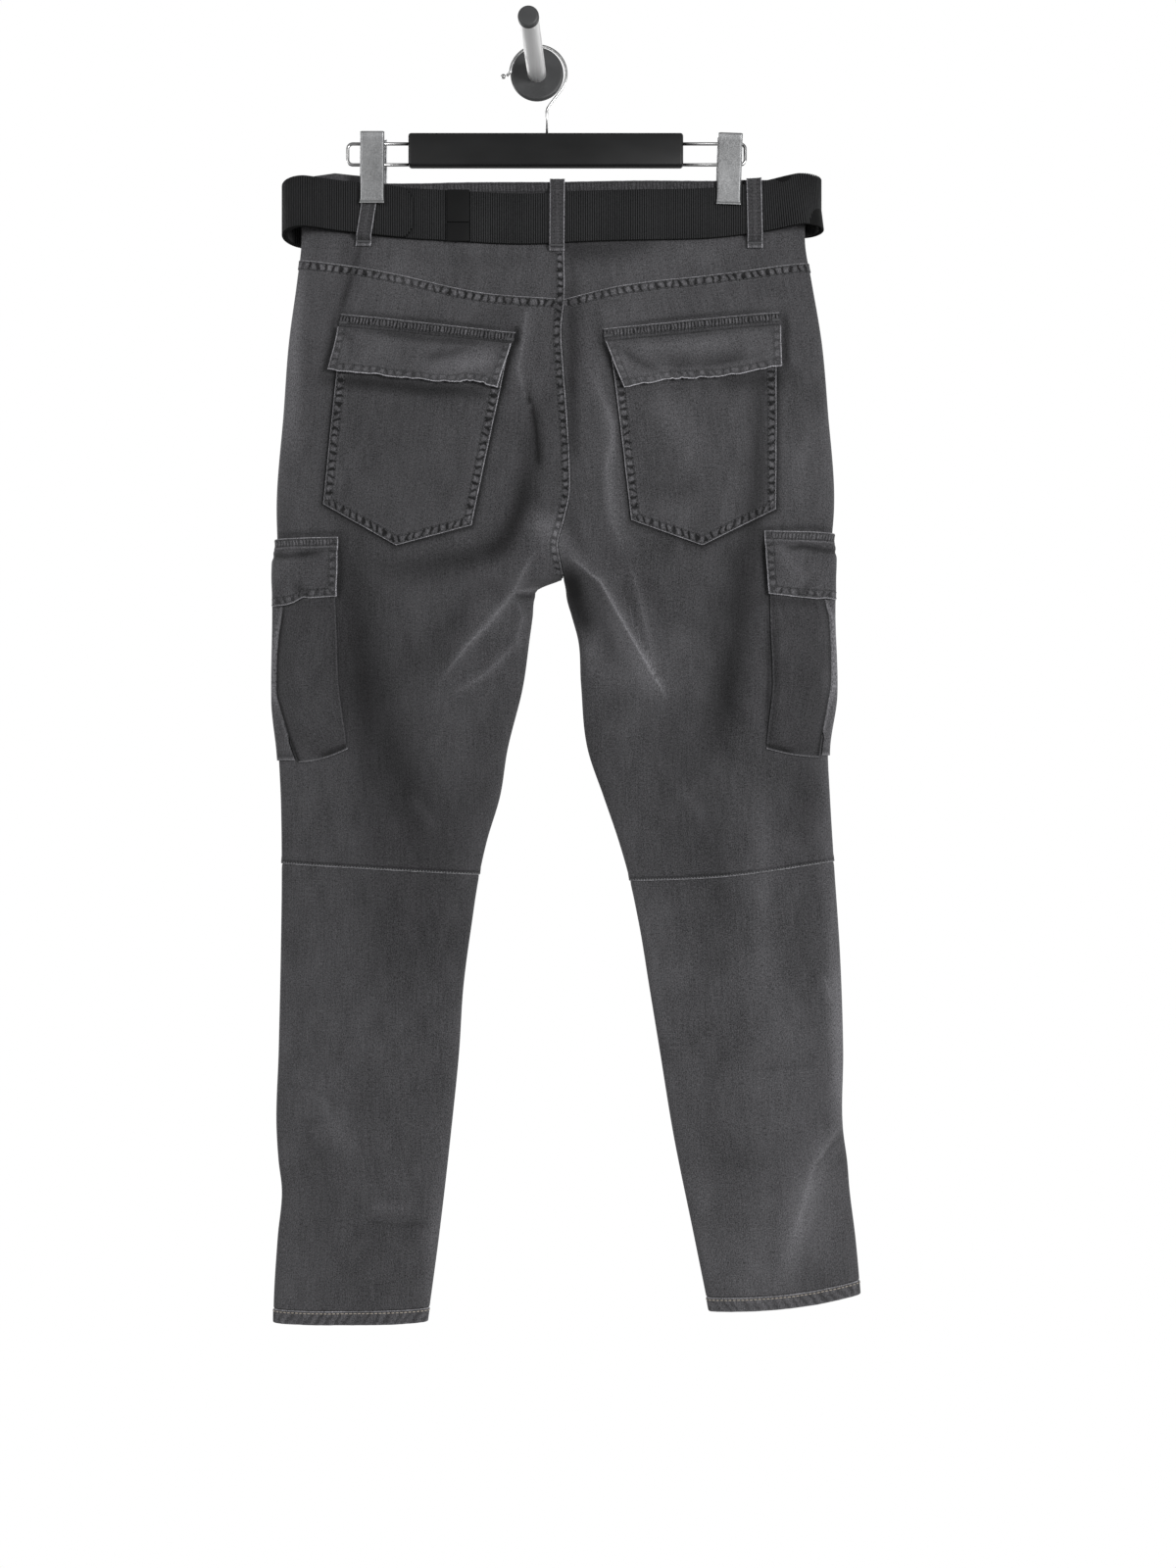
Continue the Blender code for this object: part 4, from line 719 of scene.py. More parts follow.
def contour(grid, gaps, inset, down=True):
    """The points and outward directions of a line that is an inset from an edge of a grid.

    gaps is the grid's distances from that edge.
    """
    axis = 0 if down else 1
    table = np.moveaxis(gaps, axis, 0)
    points, outward = np.moveaxis(grid.points, axis, 0), np.moveaxis(grid.outward, axis, 0)
    if table[0].mean() > table[-1].mean():
        table, points, outward = table[::-1], points[::-1], outward[::-1]
    after = np.clip((table < inset).sum(0), 1, len(table) - 1)
    pick = np.arange(table.shape[1])
    low, high = table[after - 1, pick], table[after, pick]
    t = np.clip((inset - low) / np.maximum(high - low, 1e-9), 0, 1)[:, None]
    return tuple(a[after - 1, pick] * (1 - t) + a[after, pick] * t for a in (points, outward))


def edge_rows(dressed, insets):
    """Lines along a sheet's two sides and its bottom, at each inset."""
    edges = ((dressed.left, False), (dressed.right, False), (dressed.bottom, True))
    return [contour(dressed, gaps, inset, down) for inset in insets for gaps, down in edges]


# Geometry Nodes lay bars of thread along a path: the tree's inputs, their kinds and first values, in metres
BAR_INPUTS = {
    "Pitch": ("NodeSocketFloat", 0.0037),
    "Length": ("NodeSocketFloat", 0.0027),
    "Width": ("NodeSocketFloat", 0.0009),
    "Height": ("NodeSocketFloat", 0.0006),
    "Rounding": ("NodeSocketFloat", 0.0007),
    "Sink": ("NodeSocketFloat", 0.0003),
    "Unevenness": ("NodeSocketFloat", 0.08),
    "Seed": ("NodeSocketInt", 1),
    "Thread": ("NodeSocketMaterial", None),
}
BAR_SIDES = 6
BAR_RINGS = 5
BAR_END = 0.35


def thread_bar_tree():
    """Rounded bars on a path's points, each along its "way" and standing to its "outward"."""
    tree = bpy.data.node_groups.new("bars_of_thread", "GeometryNodeTree")
    tree.interface.new_socket("Path", in_out="INPUT", socket_type="NodeSocketGeometry")
    for name, (kind, value) in BAR_INPUTS.items():
        socket = tree.interface.new_socket(name, in_out="INPUT", socket_type=kind)
        if value is not None:
            socket.default_value = value
    tree.interface.new_socket("Bars", in_out="OUTPUT", socket_type="NodeSocketGeometry")
    given = tree.nodes.new("NodeGroupInput").outputs

    def node(kind, inputs, **settings):
        made = tree.nodes.new(kind)
        for key, value in settings.items():
            setattr(made, key, value)
        for key, value in inputs.items():
            if isinstance(value, bpy.types.NodeSocket):
                tree.links.new(value, made.inputs[key])
            else:
                made.inputs[key].default_value = value
        return made.outputs

    def math_node(operation, *values):
        return node("ShaderNodeMath", dict(enumerate(values)), operation=operation)[0]

    def vector(name):
        return node("GeometryNodeInputNamedAttribute", {"Name": name}, data_type="FLOAT_VECTOR")["Attribute"]

    line = node("GeometryNodeCurvePrimitiveLine", {"Start": (-1, 0, 0), "End": (1, 0, 0)})[0]
    line = node("GeometryNodeResampleCurve", {"Curve": line, "Count": BAR_RINGS})[0]
    spot = node("GeometryNodeInputPosition", {})[0]
    way = math_node("ABSOLUTE", node("ShaderNodeSeparateXYZ", {0: spot})[0])
    thickness = math_node("SUBTRACT", 1.0, math_node("MULTIPLY", math_node("POWER", way, 6.0), 1 - BAR_END))
    ring = node("GeometryNodeCurvePrimitiveCircle", {"Resolution": BAR_SIDES, "Radius": 0.5})[0]
    round_bar = {"Curve": line, "Profile Curve": ring, "Scale": thickness, "Fill Caps": True}
    bar = node("GeometryNodeCurveToMesh", round_bar)[0]
    place = node("ShaderNodeSeparateXYZ", {0: node("GeometryNodeInputPosition", {})[0]})
    # Each bar keeps how high each of its points stands, which the webbing reads to paint a highlight on its
    # rib crests
    wear = math_node("ADD", place[2], 0.5)
    bar = node("GeometryNodeStoreNamedAttribute", {"Geometry": bar, "Name": "wear", "Value": wear})[0]
    half = math_node("MULTIPLY", given["Length"], 0.5)
    straight = math_node("SUBTRACT", half, given["Rounding"])
    straight = math_node("MULTIPLY", math_node("MULTIPLY", place[0], 2.0), straight)
    reach = math_node("MAXIMUM", math_node("MINIMUM", straight, half), math_node("MULTIPLY", half, -1.0))
    dip = math_node("MULTIPLY", math_node("MULTIPLY", place[0], place[0]), given["Sink"])
    height = math_node("MULTIPLY", place[2], given["Height"])
    shaped = node("ShaderNodeCombineXYZ", {
        0: reach,
        1: math_node("MULTIPLY", place[1], given["Width"]),
        2: math_node("ADD", math_node("SUBTRACT", height, dip), math_node("MULTIPLY", given["Height"], 0.2)),
    })[0]
    bar = node("GeometryNodeSetPosition", {"Geometry": bar, "Position": shaped})[0]
    bar = node("GeometryNodeSetShadeSmooth", {"Geometry": bar})[0]

    path = node("GeometryNodeMeshToCurve", {"Mesh": given["Path"]})[0]
    points = node("GeometryNodeCurveToPoints", {"Curve": path, "Length": given["Pitch"]}, mode="LENGTH")
    turn = node(
        "FunctionNodeAxesToRotation", {"Primary Axis": vector("outward"), "Secondary Axis": vector("way")},
        primary_axis="Z", secondary_axis="X",
    )[0]
    uneven_length = node("FunctionNodeRandomValue", {
        2: math_node("SUBTRACT", 1.0, given["Unevenness"]),
        3: math_node("ADD", 1.0, given["Unevenness"]),
        "Seed": given["Seed"],
    })[1]
    share = node("GeometryNodeInputNamedAttribute", {"Name": "share"}, data_type="FLOAT")["Attribute"]
    scale = node("ShaderNodeCombineXYZ", {0: math_node("MULTIPLY", uneven_length, share), 1: 1.0, 2: 1.0})[0]
    bars = node("GeometryNodeInstanceOnPoints", {
        "Points": points["Points"], "Instance": bar, "Rotation": turn, "Scale": scale,
    })[0]
    bars = node("GeometryNodeRealizeInstances", {"Geometry": bars})[0]
    bars = node("GeometryNodeSetMaterial", {"Geometry": bars, "Material": given["Thread"]})[0]
    node("NodeGroupOutput", {0: bars})
    return tree


THREAD_BARS = thread_bar_tree()


def laid_bars(name, lines, finish, slot="denim", unevenness=0.08, **sizes):
    """Bars laid along lines on the cloth.

    A line is its points, outward directions, bar directions and shares of the length;
    unevenness is a share of a bar's length, and the sizes are the tree's, in millimetres.
    """
    points, outward, way, share = (np.concatenate(tables) for tables in zip(*lines))
    edges = []
    first = 0
    for line in lines:
        after = first + len(line[0])
        edges += [(k, k + 1) for k in range(first, after - 1)]
        first = after
    mesh = bpy.data.meshes.new(name)
    mesh.from_pydata(placed(points).tolist(), edges, [])
    for key, vectors in (("outward", outward), ("way", way)):
        mesh.attributes.new(key, "FLOAT_VECTOR", "POINT").data.foreach_set("vector", vectors.ravel())
    mesh.attributes.new("share", "FLOAT", "POINT").data.foreach_set("value", share)
    path = bpy.data.objects.new(f"{name}_path", mesh)
    bpy.context.scene.collection.objects.link(path)
    bars = path.modifiers.new("bars", "NODES")
    bars.node_group = THREAD_BARS
    given = {"Thread": finish, "Seed": sum(map(ord, name)), "Unevenness": unevenness}
    given.update((key, size * MM) for key, size in sizes.items())
    for item in THREAD_BARS.interface.items_tree:
        if item.in_out == "INPUT" and item.name in given:
            bars[item.identifier] = given[item.name]
    done = bpy.data.meshes.new_from_object(path.evaluated_get(bpy.context.evaluated_depsgraph_get()))
    bpy.data.objects.remove(path)
    done.name = name
    done.materials.clear()
    return piece(name, done, finish)


def stitches(name, lines, finish, length=2.7, pitch=STITCH_PITCH, width=0.84, height=0.6, inset=2.0):
    """Rows of thread along lines, each stitch dipping into the cloth at its ends."""
    rows = []
    for line in lines:
        run = run_length(line[0], 0)
        keep = np.linspace(inset, run[-1] - inset, max(int(run[-1] / 1.2), 4))
        line, outward = (np.stack([np.interp(keep, run, knots) for knots in table.T], -1) for table in line)
        rows.append((line, outward, np.gradient(line, axis=0), np.ones(len(line))))
    laid_bars(name, rows, finish, Length=length, Pitch=pitch, Width=width, Height=height, Rounding=length / 4,
              Sink=0.3)


def bar_tack(name, start, end, outward, finish, length):
    """A dense bar of thread from one point to another, its threads across it."""
    line = np.linspace(start, end, 8)
    outward = np.tile(outward, (len(line), 1))
    across = np.cross(outward, line[-1] - line[0])
    laid_bars(name, [(line, outward, across, np.ones(len(line)))], finish,
              Length=length, Pitch=0.45, Width=0.7, Height=0.9, Rounding=0.4, Sink=0.4)


# ---------------------------------------------------------------- finishes


class Finish:
    """A material, its nodes made one call at a time."""

    def __init__(self, name):
        self.material = bpy.data.materials.new(name)
        self.material.use_nodes = True
        self.tree = self.material.node_tree
        self.shader = self.tree.nodes["Principled BSDF"]

    def feed(self, socket, value):
        if isinstance(value, bpy.types.NodeSocket):
            self.tree.links.new(value, socket)
        elif value is not None:
            socket.default_value = value

    def node(self, kind, *values, **settings):
        made = self.tree.nodes.new(kind)
        for key, value in settings.items():
            setattr(made, key, value)
        for socket, value in zip(made.inputs, values):
            self.feed(socket, value)
        return made

    def math(self, operation, *values):
        return self.node("ShaderNodeMath", *values, operation=operation).outputs[0]

    def add(self, *values):
        return functools.reduce(lambda total, value: self.math("ADD", total, value), values)

    def times(self, *values):
        return functools.reduce(lambda total, value: self.math("MULTIPLY", total, value), values)

    def attribute(self, name):
        return self.node("ShaderNodeAttribute", attribute_name=name).outputs["Fac"]

    def uv(self, name):
        return self.node("ShaderNodeUVMap", uv_map=name).outputs[0]

    def place(self):
        return self.node("ShaderNodeTexCoord").outputs["Object"]

    def stretch(self, vector, scales):
        return self.node("ShaderNodeVectorMath", vector, scales, operation="MULTIPLY").outputs[0]

    def noise(self, vector, scales, detail=2.0):
        """Noise around 0, about -0.5 to 0.5."""
        made = self.node("ShaderNodeTexNoise")
        self.feed(made.inputs["Vector"], self.stretch(vector, scales))
        made.inputs["Scale"].default_value = 1.0
        made.inputs["Detail"].default_value = detail
        return self.math("SUBTRACT", made.outputs["Fac"], 0.5)

    def hill(self, value, middle, width):
        """1 where the value is the middle, fading to nothing by about 2 widths."""
        t = self.math("DIVIDE", self.math("SUBTRACT", value, middle), width)
        return self.math("EXPONENT", self.times(t, t, -1.0))

    def step(self, value, low, high):
        """0 below low and 1 above high, smooth between."""
        made = self.node("ShaderNodeMapRange", value, low, high, 0.0, 1.0, interpolation_type="SMOOTHSTEP")
        return made.outputs[0]

    def mix(self, share, first, second):
        made = self.tree.nodes.new("ShaderNodeMix")
        made.data_type = "RGBA"
        for index, value in ((0, share), (6, first), (7, second)):
            self.feed(made.inputs[index], value)
        return made.outputs[2]

    def grey(self, value, tint=(1.0, 1.0, 1.0)):
        """A colour from a lightness, with a tint."""
        return self.stretch(self.node("ShaderNodeCombineXYZ", value, value, value).outputs[0], tint)

    def set(self, **values):
        for key, value in values.items():
            self.feed(self.shader.inputs[key.replace("_", " ")], value)
        return self.material

    def bump(self, height_mm):
        made = self.node("ShaderNodeBump")
        made.inputs["Strength"].default_value = 1.0
        made.inputs["Distance"].default_value = MM
        self.feed(made.inputs["Height"], height_mm)
        return made.outputs[0]


DENIM_LIGHT = 0.0405
# The pale colour of worn places and of painted highlights
DENIM_WORN_AND_LIT = 0.2
DENIM_TINT = (0.985, 0.97, 1.03)
STREAKS = 0.8
THREADS = 1.7
SPECKS = 2.6
# The gathers' pitch in the finish: a seam's run is scaled so that its own pitch comes out
GATHER_PITCH = 8.0


def washed_denim():
    """Charcoal denim: streaky warp, specks of weft, soft clouds; paler where seams and ridges have rubbed and
    where highlights are painted, darker where shade is painted.
    """
    f = Finish("washed_charcoal_denim")
    weave, place = f.uv("weave"), f.place()
    streak = f.noise(weave, (620, 34, 1), 2)
    thread = f.noise(weave, (1500, 330, 1), 2)
    weft = f.noise(weave, (140, 1500, 1), 1)
    speck = f.noise(weave, (1050, 800, 1), 2)
    mottle = f.noise(place, (62, 62, 34), 3)
    cloud = f.noise(place, (13, 13, 8), 3)
    wide = f.noise(place, (3.1, 3.1, 2.3), 1)
    split = f.node("ShaderNodeSeparateXYZ", f.uv("seam"))
    run, gap = f.times(split.outputs[0], 1000.0), f.times(split.outputs[1], 1000.0)
    band = f.attribute("band")
    along_seam = f.node("ShaderNodeCombineXYZ", run, gap, 0.0).outputs[0]
    wobble = f.noise(along_seam, (0.08, 0.09, 1), 2)
    broken = f.noise(along_seam, (0.16, 0.12, 1), 1)
    patchy = f.noise(along_seam, (0.03, 0.02, 1), 2)
    pucker = f.attribute("pucker")
    # Gathers along a seam's band: pale bars and dark slots between them, partly wash wear and partly painted
    # light and shade on the puckers, and dark stitch rows, painted shade in their grooves
    from_row = f.math("SUBTRACT", gap, f.math("SUBTRACT", band, 1.0))
    seamed = f.times(f.step(gap, 0.5, 1.3), f.math("SUBTRACT", 1.0, f.step(from_row, 0.4, 2.6)))
    gathered = f.times(f.step(gap, 1.6, 3.4), f.math("SUBTRACT", 1.0, f.step(from_row, -1.8, 0.2)))
    slotted = f.times(f.step(gap, 0.8, 1.8), f.math("SUBTRACT", 1.0, f.step(from_row, 0.0, 1.6)))
    wave = f.math("SINE", f.add(f.times(run, 2 * math.pi / GATHER_PITCH), f.times(wobble, 9.0)))
    square = f.step(f.add(wave, f.times(speck, 1.2)), -0.8, 0.7)
    patch = f.math("MAXIMUM", f.add(0.8, f.times(broken, 1.9), f.times(patchy, 1.8)), 0.05)
    bars = f.times(square, patch, gathered, pucker)
    slots = f.times(
        f.hill(wave, -1.0, 0.55), slotted, f.math("MINIMUM", pucker, 1.0), f.add(0.8, f.times(broken, -1.4)),
    )
    beyond = f.times(square, patch, f.hill(from_row, 2.0, 1.1), pucker)
    dashes = f.add(0.75, f.times(f.math("SINE", f.times(run, 2 * math.pi / STITCH_PITCH)), 0.25))
    rows = f.times(f.add(f.hill(gap, 1.8, 0.55), f.hill(from_row, 0.0, 0.55)), dashes)
    edge = f.times(
        f.hill(gap, 0.2, 0.5), f.math("MAXIMUM", f.add(0.9, f.times(broken, 1.6), f.times(patchy, 2.0)), 0.1),
    )
    # Lines from the cloth: painted shade along dark ones, with a wider painted shadow halo; pale ones get a
    # painted lit side
    rub, rub_and_shade_gap = f.attribute("rub"), f.attribute("rub_and_shade_gap")
    line = f.times(rub, f.hill(rub_and_shade_gap, 0.0, 1.5))
    halo = f.times(rub, f.hill(rub_and_shade_gap, 0.0, 4.5))
    far = f.math("EXPONENT", f.times(f.math("MAXIMUM", rub_and_shade_gap, 0.0), -0.2))
    lit_side = f.times(rub, f.step(rub_and_shade_gap, -1.4, 0.6), far)
    shadow = f.add(f.times(f.math("MINIMUM", line, 0.0), 0.25), f.times(f.math("MINIMUM", halo, 0.0), 0.42))
    light = f.add(
        1.0,
        f.times(streak, STREAKS),
        f.times(thread, THREADS),
        f.times(weft, 0.6),
        f.times(speck, SPECKS),
        f.times(mottle, 0.55),
        f.times(cloud, 0.7),
        f.times(wide, 0.6),
    )
    # The seam bands are darker, with the painted light and shade of their gathers, stitch rows and dark lines
    seams = f.add(
        1.0,
        f.times(seamed, f.math("MINIMUM", pucker, 1.2), -0.24),
        f.times(bars, 1.1),
        f.times(slots, -0.7),
        f.times(beyond, 0.25),
        f.times(rows, -0.4),
        shadow,
    )
    light = f.times(f.math("MAXIMUM", light, 0.25), f.math("MAXIMUM", seams, 0.1))
    light = f.times(light, f.math("SUBTRACT", 1.0, f.attribute("shade")))
    light = f.times(light, f.add(1.0, f.times(f.attribute("inside"), 0.35)), DENIM_LIGHT)
    # Paler: wear, the worn edge line, and painted highlight along pale lines and on their lit side
    wear_and_painted_light = f.add(
        f.attribute("wear"),
        edge,
        f.times(f.math("MAXIMUM", line, 0.0), 0.16),
        f.times(f.math("MAXIMUM", lit_side, 0.0), 0.24),
    )
    wear_and_painted_light = f.times(wear_and_painted_light, f.add(1.0, f.times(speck, 2.4), f.times(thread, 2.0)))
    light = f.add(light, f.times(f.math("MAXIMUM", wear_and_painted_light, 0.0), DENIM_WORN_AND_LIT - DENIM_LIGHT))
    height = f.add(
        f.times(thread, 0.16),
        f.times(speck, 0.16),
        f.times(weft, 0.06),
        f.times(streak, 0.05),
        f.times(bars, 0.4),
        f.times(rows, -0.3),
        f.times(line, 0.2),
    )
    f.shader.inputs["Roughness"].default_value = 0.9
    f.shader.inputs["Specular IOR Level"].default_value = 0.1
    f.shader.inputs["Sheen Weight"].default_value = 0.05
    f.shader.inputs["Sheen Roughness"].default_value = 0.6
    return f.set(Base_Color=f.grey(f.math("MAXIMUM", light, 0.005), DENIM_TINT), Normal=f.bump(height))


def belt_webbing():
    """Near-black ribbed webbing, with a painted highlight that makes the crests of its ribs greyer."""
    f = Finish("black_ribbed_webbing")
    place = f.place()
    thread = f.noise(place, (900, 900, 1500), 2)
    fuzz = f.noise(place, (2600, 2600, 2600), 2)
    haze = f.noise(place, (30, 30, 12), 2)
    # Painted highlight: greyer on the crests of the ribs
    light = f.add(0.0028, f.times(f.step(f.attribute("wear"), 0.6, 1.05), 0.019))
    light = f.times(light, f.add(1.0, f.times(thread, 1.3), f.times(fuzz, 1.0), f.times(haze, 0.6)))
    f.shader.inputs["Roughness"].default_value = 0.8
    f.shader.inputs["Specular IOR Level"].default_value = 0.12
    height = f.add(f.times(thread, 0.14), f.times(fuzz, 0.08))
    return f.set(Base_Color=f.grey(f.math("MAXIMUM", light, 0.001), (0.99, 1.0, 1.04)), Normal=f.bump(height))


def sewing_thread(name, colour):
    """Twisted thread, a little paler in places."""
    f = Finish(name)
    twist = f.noise(f.place(), (1800, 1800, 1800), 2)
    f.shader.inputs["Roughness"].default_value = 0.6
    f.shader.inputs["Specular IOR Level"].default_value = 0.35
    return f.set(Base_Color=f.mix(f.add(0.5, twist), (*colour, 1), (*[c * 1.5 for c in colour], 1)),
                 Normal=f.bump(f.times(twist, 0.1)))


def moulded_black(name, lightness, roughness, gloss):
    """Satin black plastic with the faint grain of its mould."""
    f = Finish(name)
    grain = f.noise(f.place(), (1300, 1300, 1300), 2)
    haze = f.noise(f.place(), (24, 24, 60), 2)
    f.shader.inputs["Specular IOR Level"].default_value = gloss
    return f.set(
        Base_Color=f.grey(f.add(lightness, f.times(haze, lightness * 0.6)), (0.98, 1.0, 1.03)),
        Roughness=f.add(roughness, f.times(haze, 0.16)),
        Normal=f.bump(f.times(grain, 0.035)),
    )


def steel(name, lightness, roughness):
    """Plain steel with a faint haze, for wires and springs."""
    f = Finish(name)
    haze = f.noise(f.place(), (300, 300, 300), 2)
    f.shader.inputs["Metallic"].default_value = 1.0
    return f.set(Base_Color=f.grey(f.add(lightness, f.times(haze, lightness * 0.3))),
                 Roughness=f.add(roughness, f.times(haze, 0.16)))


def drawn_rod():
    """Bright drawn steel, its faint lines along the rod."""
    f = Finish("drawn_steel")
    lines = f.noise(f.place(), (900, 8, 900), 2)
    f.shader.inputs["Metallic"].default_value = 0.75
    return f.set(
        Base_Color=f.grey(f.add(0.8, f.times(lines, 0.1))),
        Roughness=f.add(0.34, f.times(lines, 0.2)),
        Normal=f.bump(f.times(lines, 0.01)),
    )


def brushed_plate(name, shade):
    """Stamped steel with a speckled, lightly brushed face."""
    f = Finish(name)
    speck = f.noise(f.place(), (900, 900, 900), 3)
    brush = f.noise(f.place(), (2200, 2200, 60), 2)
    blotch = f.noise(f.place(), (50, 50, 30), 2)
    f.shader.inputs["Metallic"].default_value = 0.9
    light = f.times(f.add(0.31, f.times(speck, 0.22), f.times(brush, 0.16), f.times(blotch, 0.26)), shade)
    return f.set(
        Base_Color=f.grey(light, (0.985, 0.995, 1.01)),
        Roughness=f.add(0.4, f.times(speck, 0.3)),
        Normal=f.bump(f.add(f.times(speck, 0.05), f.times(brush, 0.02))),
    )


DENIM = washed_denim()
WEBBING = belt_webbing()
TONAL_THREAD = sewing_thread("tonal_thread", (0.030, 0.030, 0.032))
PALE_THREAD = sewing_thread("pale_grey_thread", (0.075, 0.075, 0.078))
HEM_THREAD = sewing_thread("tan_grey_thread", (0.19, 0.17, 0.145))
BLACK = moulded_black("satin_black_plastic", 0.0065, 0.42, 0.2)
KEEPER_BLACK = moulded_black("dull_black_plastic", 0.004, 0.6, 0.1)
PEG_BLACK = moulded_black("matt_black_plastic", 0.034, 0.5, 0.35)
CHROME = steel("polished_steel", 0.34, 0.32)
ROD_STEEL = drawn_rod()
PLATE = brushed_plate("brushed_steel_plate", 1.0)
BUCKLE_METAL = brushed_plate("dark_buckle_plate", 0.32)


# ---------------------------------------------------------------- legs, yokes and waistband

SEAM_RAISE = 0.5
KNEE_BAND = 4.6
KNEE_STITCHES_IN = 1.5
POCKET_SHADOW = -0.9


def waist(side, turn):
    """The waistband's seam, which is level."""
    return np.full(np.shape(turn), WAIST_SEAM)


def yoke_line(side, turn):
    return seam_drop(YOKE_SEAM, side, turn)


def knee_line(side, turn):
    return seam_drop(KNEE_SEAM, side, turn)


def hem_top(side, turn):
    return seam_drop(HEM_EDGE, side, turn) - HEM_HEIGHT


# kind, face, seam above and below, step across, step down, seamed edges
Panel = namedtuple("Panel", "kind face upper lower step row_step edges")
PANELS = (
    Panel("yoke", BACK, waist, yoke_line, 3.2, 3.2, ""),
    Panel("back_upper", BACK, yoke_line, knee_line, 3.2, 3.0, "B"),
    Panel("back_lower", BACK, knee_line, hem_top, 3.4, 3.4, ""),
    Panel("front_upper", FRONT, waist, knee_line, 4.2, 4.2, "B"),
    Panel("front_lower", FRONT, knee_line, hem_top, 4.6, 4.6, ""),
)


def leg_panels():
    for word, side in SIDES.items():
        for row in PANELS:

            def surface(u, v, side=side, row=row):
                start, end = row.upper(side, u) + SEAM / 2, row.lower(side, u) - SEAM / 2
                return skin(side, off_seam(row.face * u, row.face), start + (end - start) * v)

            row_lines = SEAM_LINES if row.edges else EDGE_LINES
            grid = grid_on(surface, row.step, EDGE_LINES, row.row_step, row_lines)
            x, drop = grid.points[..., 0], -grid.points[..., 2]
            # Lines of wear and painted highlight on the ridges, and of painted shade in the creases and just
            # outside the pockets
            wear_and_painted_light = [crease for crease in CREASES if crease.rub and crease.face == row.face]
            lines = [(crease.path, crease.rub, True) for crease in wear_and_painted_light]
            if row.face == BACK:
                lines += [(path, POCKET_SHADOW, False) for path in POCKET_OUTLINES]
            lift, shade = 0 * x, 0
            if row.edges:
                lift = SEAM_RAISE * (1 - ease((grid.bottom - 4) / 3))
                shade = 0.4 * bump((grid.bottom - 3.2) / 1.3)
            if row.kind.endswith("lower"):
                lift = lift - 0.4 * bump(grid.top / 1.5)
            dressed = denim(
                f"{row.kind}_{word}", grid, PANEL_WALL, lift=lift, shade=shade,
                wear=fold_height(CREASES, x, drop, row.face, "wear"), rub=rub_and_shade_lines(lines, x, drop),
                edges=row.edges, band=KNEE_BAND, pucker=0, under=True,
            )
            if row.edges:
                stitches(f"knee_seam_{row.kind}_{word}_stitching",
                         [contour(dressed, dressed.bottom, KNEE_STITCHES_IN)], PALE_THREAD,
                         length=2.0, pitch=2.9, width=1.0, height=0.7)


def waistbands():
    for word, face, top in (("back", BACK, BACK_TOP), ("front", FRONT, FRONT_TOP)):

        def surface(u, v, face=face, top=top):
            points, outward = np.zeros((*u.shape, 3)), np.zeros((*u.shape, 3))
            turn = off_seam(face * np.where(u <= 0.5, 2 * u, 2 - 2 * u), face)
            for side, mine in ((-1, u <= 0.5), (1, u > 0.5)):
                start = np.interp(bare(side, turn[mine], np.zeros(mine.sum()))[:, 0], *top)
                drop = start + (WAIST_SEAM - SEAM / 2 - start) * v[mine]
                points[mine], outward[mine] = skin(side, turn[mine], drop)
            return points, outward

        grid = grid_on(surface, 1.6, EDGE_LINES, 3.0, SEAM_LINES)
        gather = 0.28 * uneven(grid.left, 2 + face, 6.0) * (1 - ease((grid.top - 4) / 8))
        denim(f"waistband_{word}", grid, PANEL_WALL, lift=gather, wear=0.05 * bump(grid.top / 1.2), shade=0.3,
              edges="T", band=11.0, pitch=3.4, pucker=0.4)


def hems():
    for word, side in SIDES.items():

        def surface(u, v, side=side):
            turn = off_seam(np.clip(2 * u - 1, -1, 1))
            return skin(side, turn, seam_drop(HEM_EDGE, side, turn) - (HEM_HEIGHT - HEM_GAP) * (1 - v))

        grid = grid_on(surface, 1.8, (), 1.6, EDGE_LINES)
        lift = 0.4 + 0.35 * uneven(grid.left, side, 7.0) * ease(grid.top / 4)
        worn = 0.04 + 0.03 * uneven(grid.left + 0.7 * grid.top, side, 8.0) + 0.2 * bump(grid.bottom / 1.2)
        dressed = denim(f"hem_{word}", grid, HEM_WALL, lift=lift, wear=worn, edges="T", band=20.0, pitch=9.5,
                        slant=0.7, pucker=0.4, closed=True)
        stitches(f"hem_{word}_stitching", [contour(dressed, dressed.top, 2.2)], HEM_THREAD,
                 length=3.2, pitch=4.1, width=1.1, height=0.84)


# ---------------------------------------------------------------- felled seams on the back

FELL_HALF = 5.5
CENTRE_FELL = 8.8
FELL_RAISE = 0.85
FELL_WALL = 0.9
# How far a felled seam's loose side goes in under the panel
FELL_TUCK = 1.25


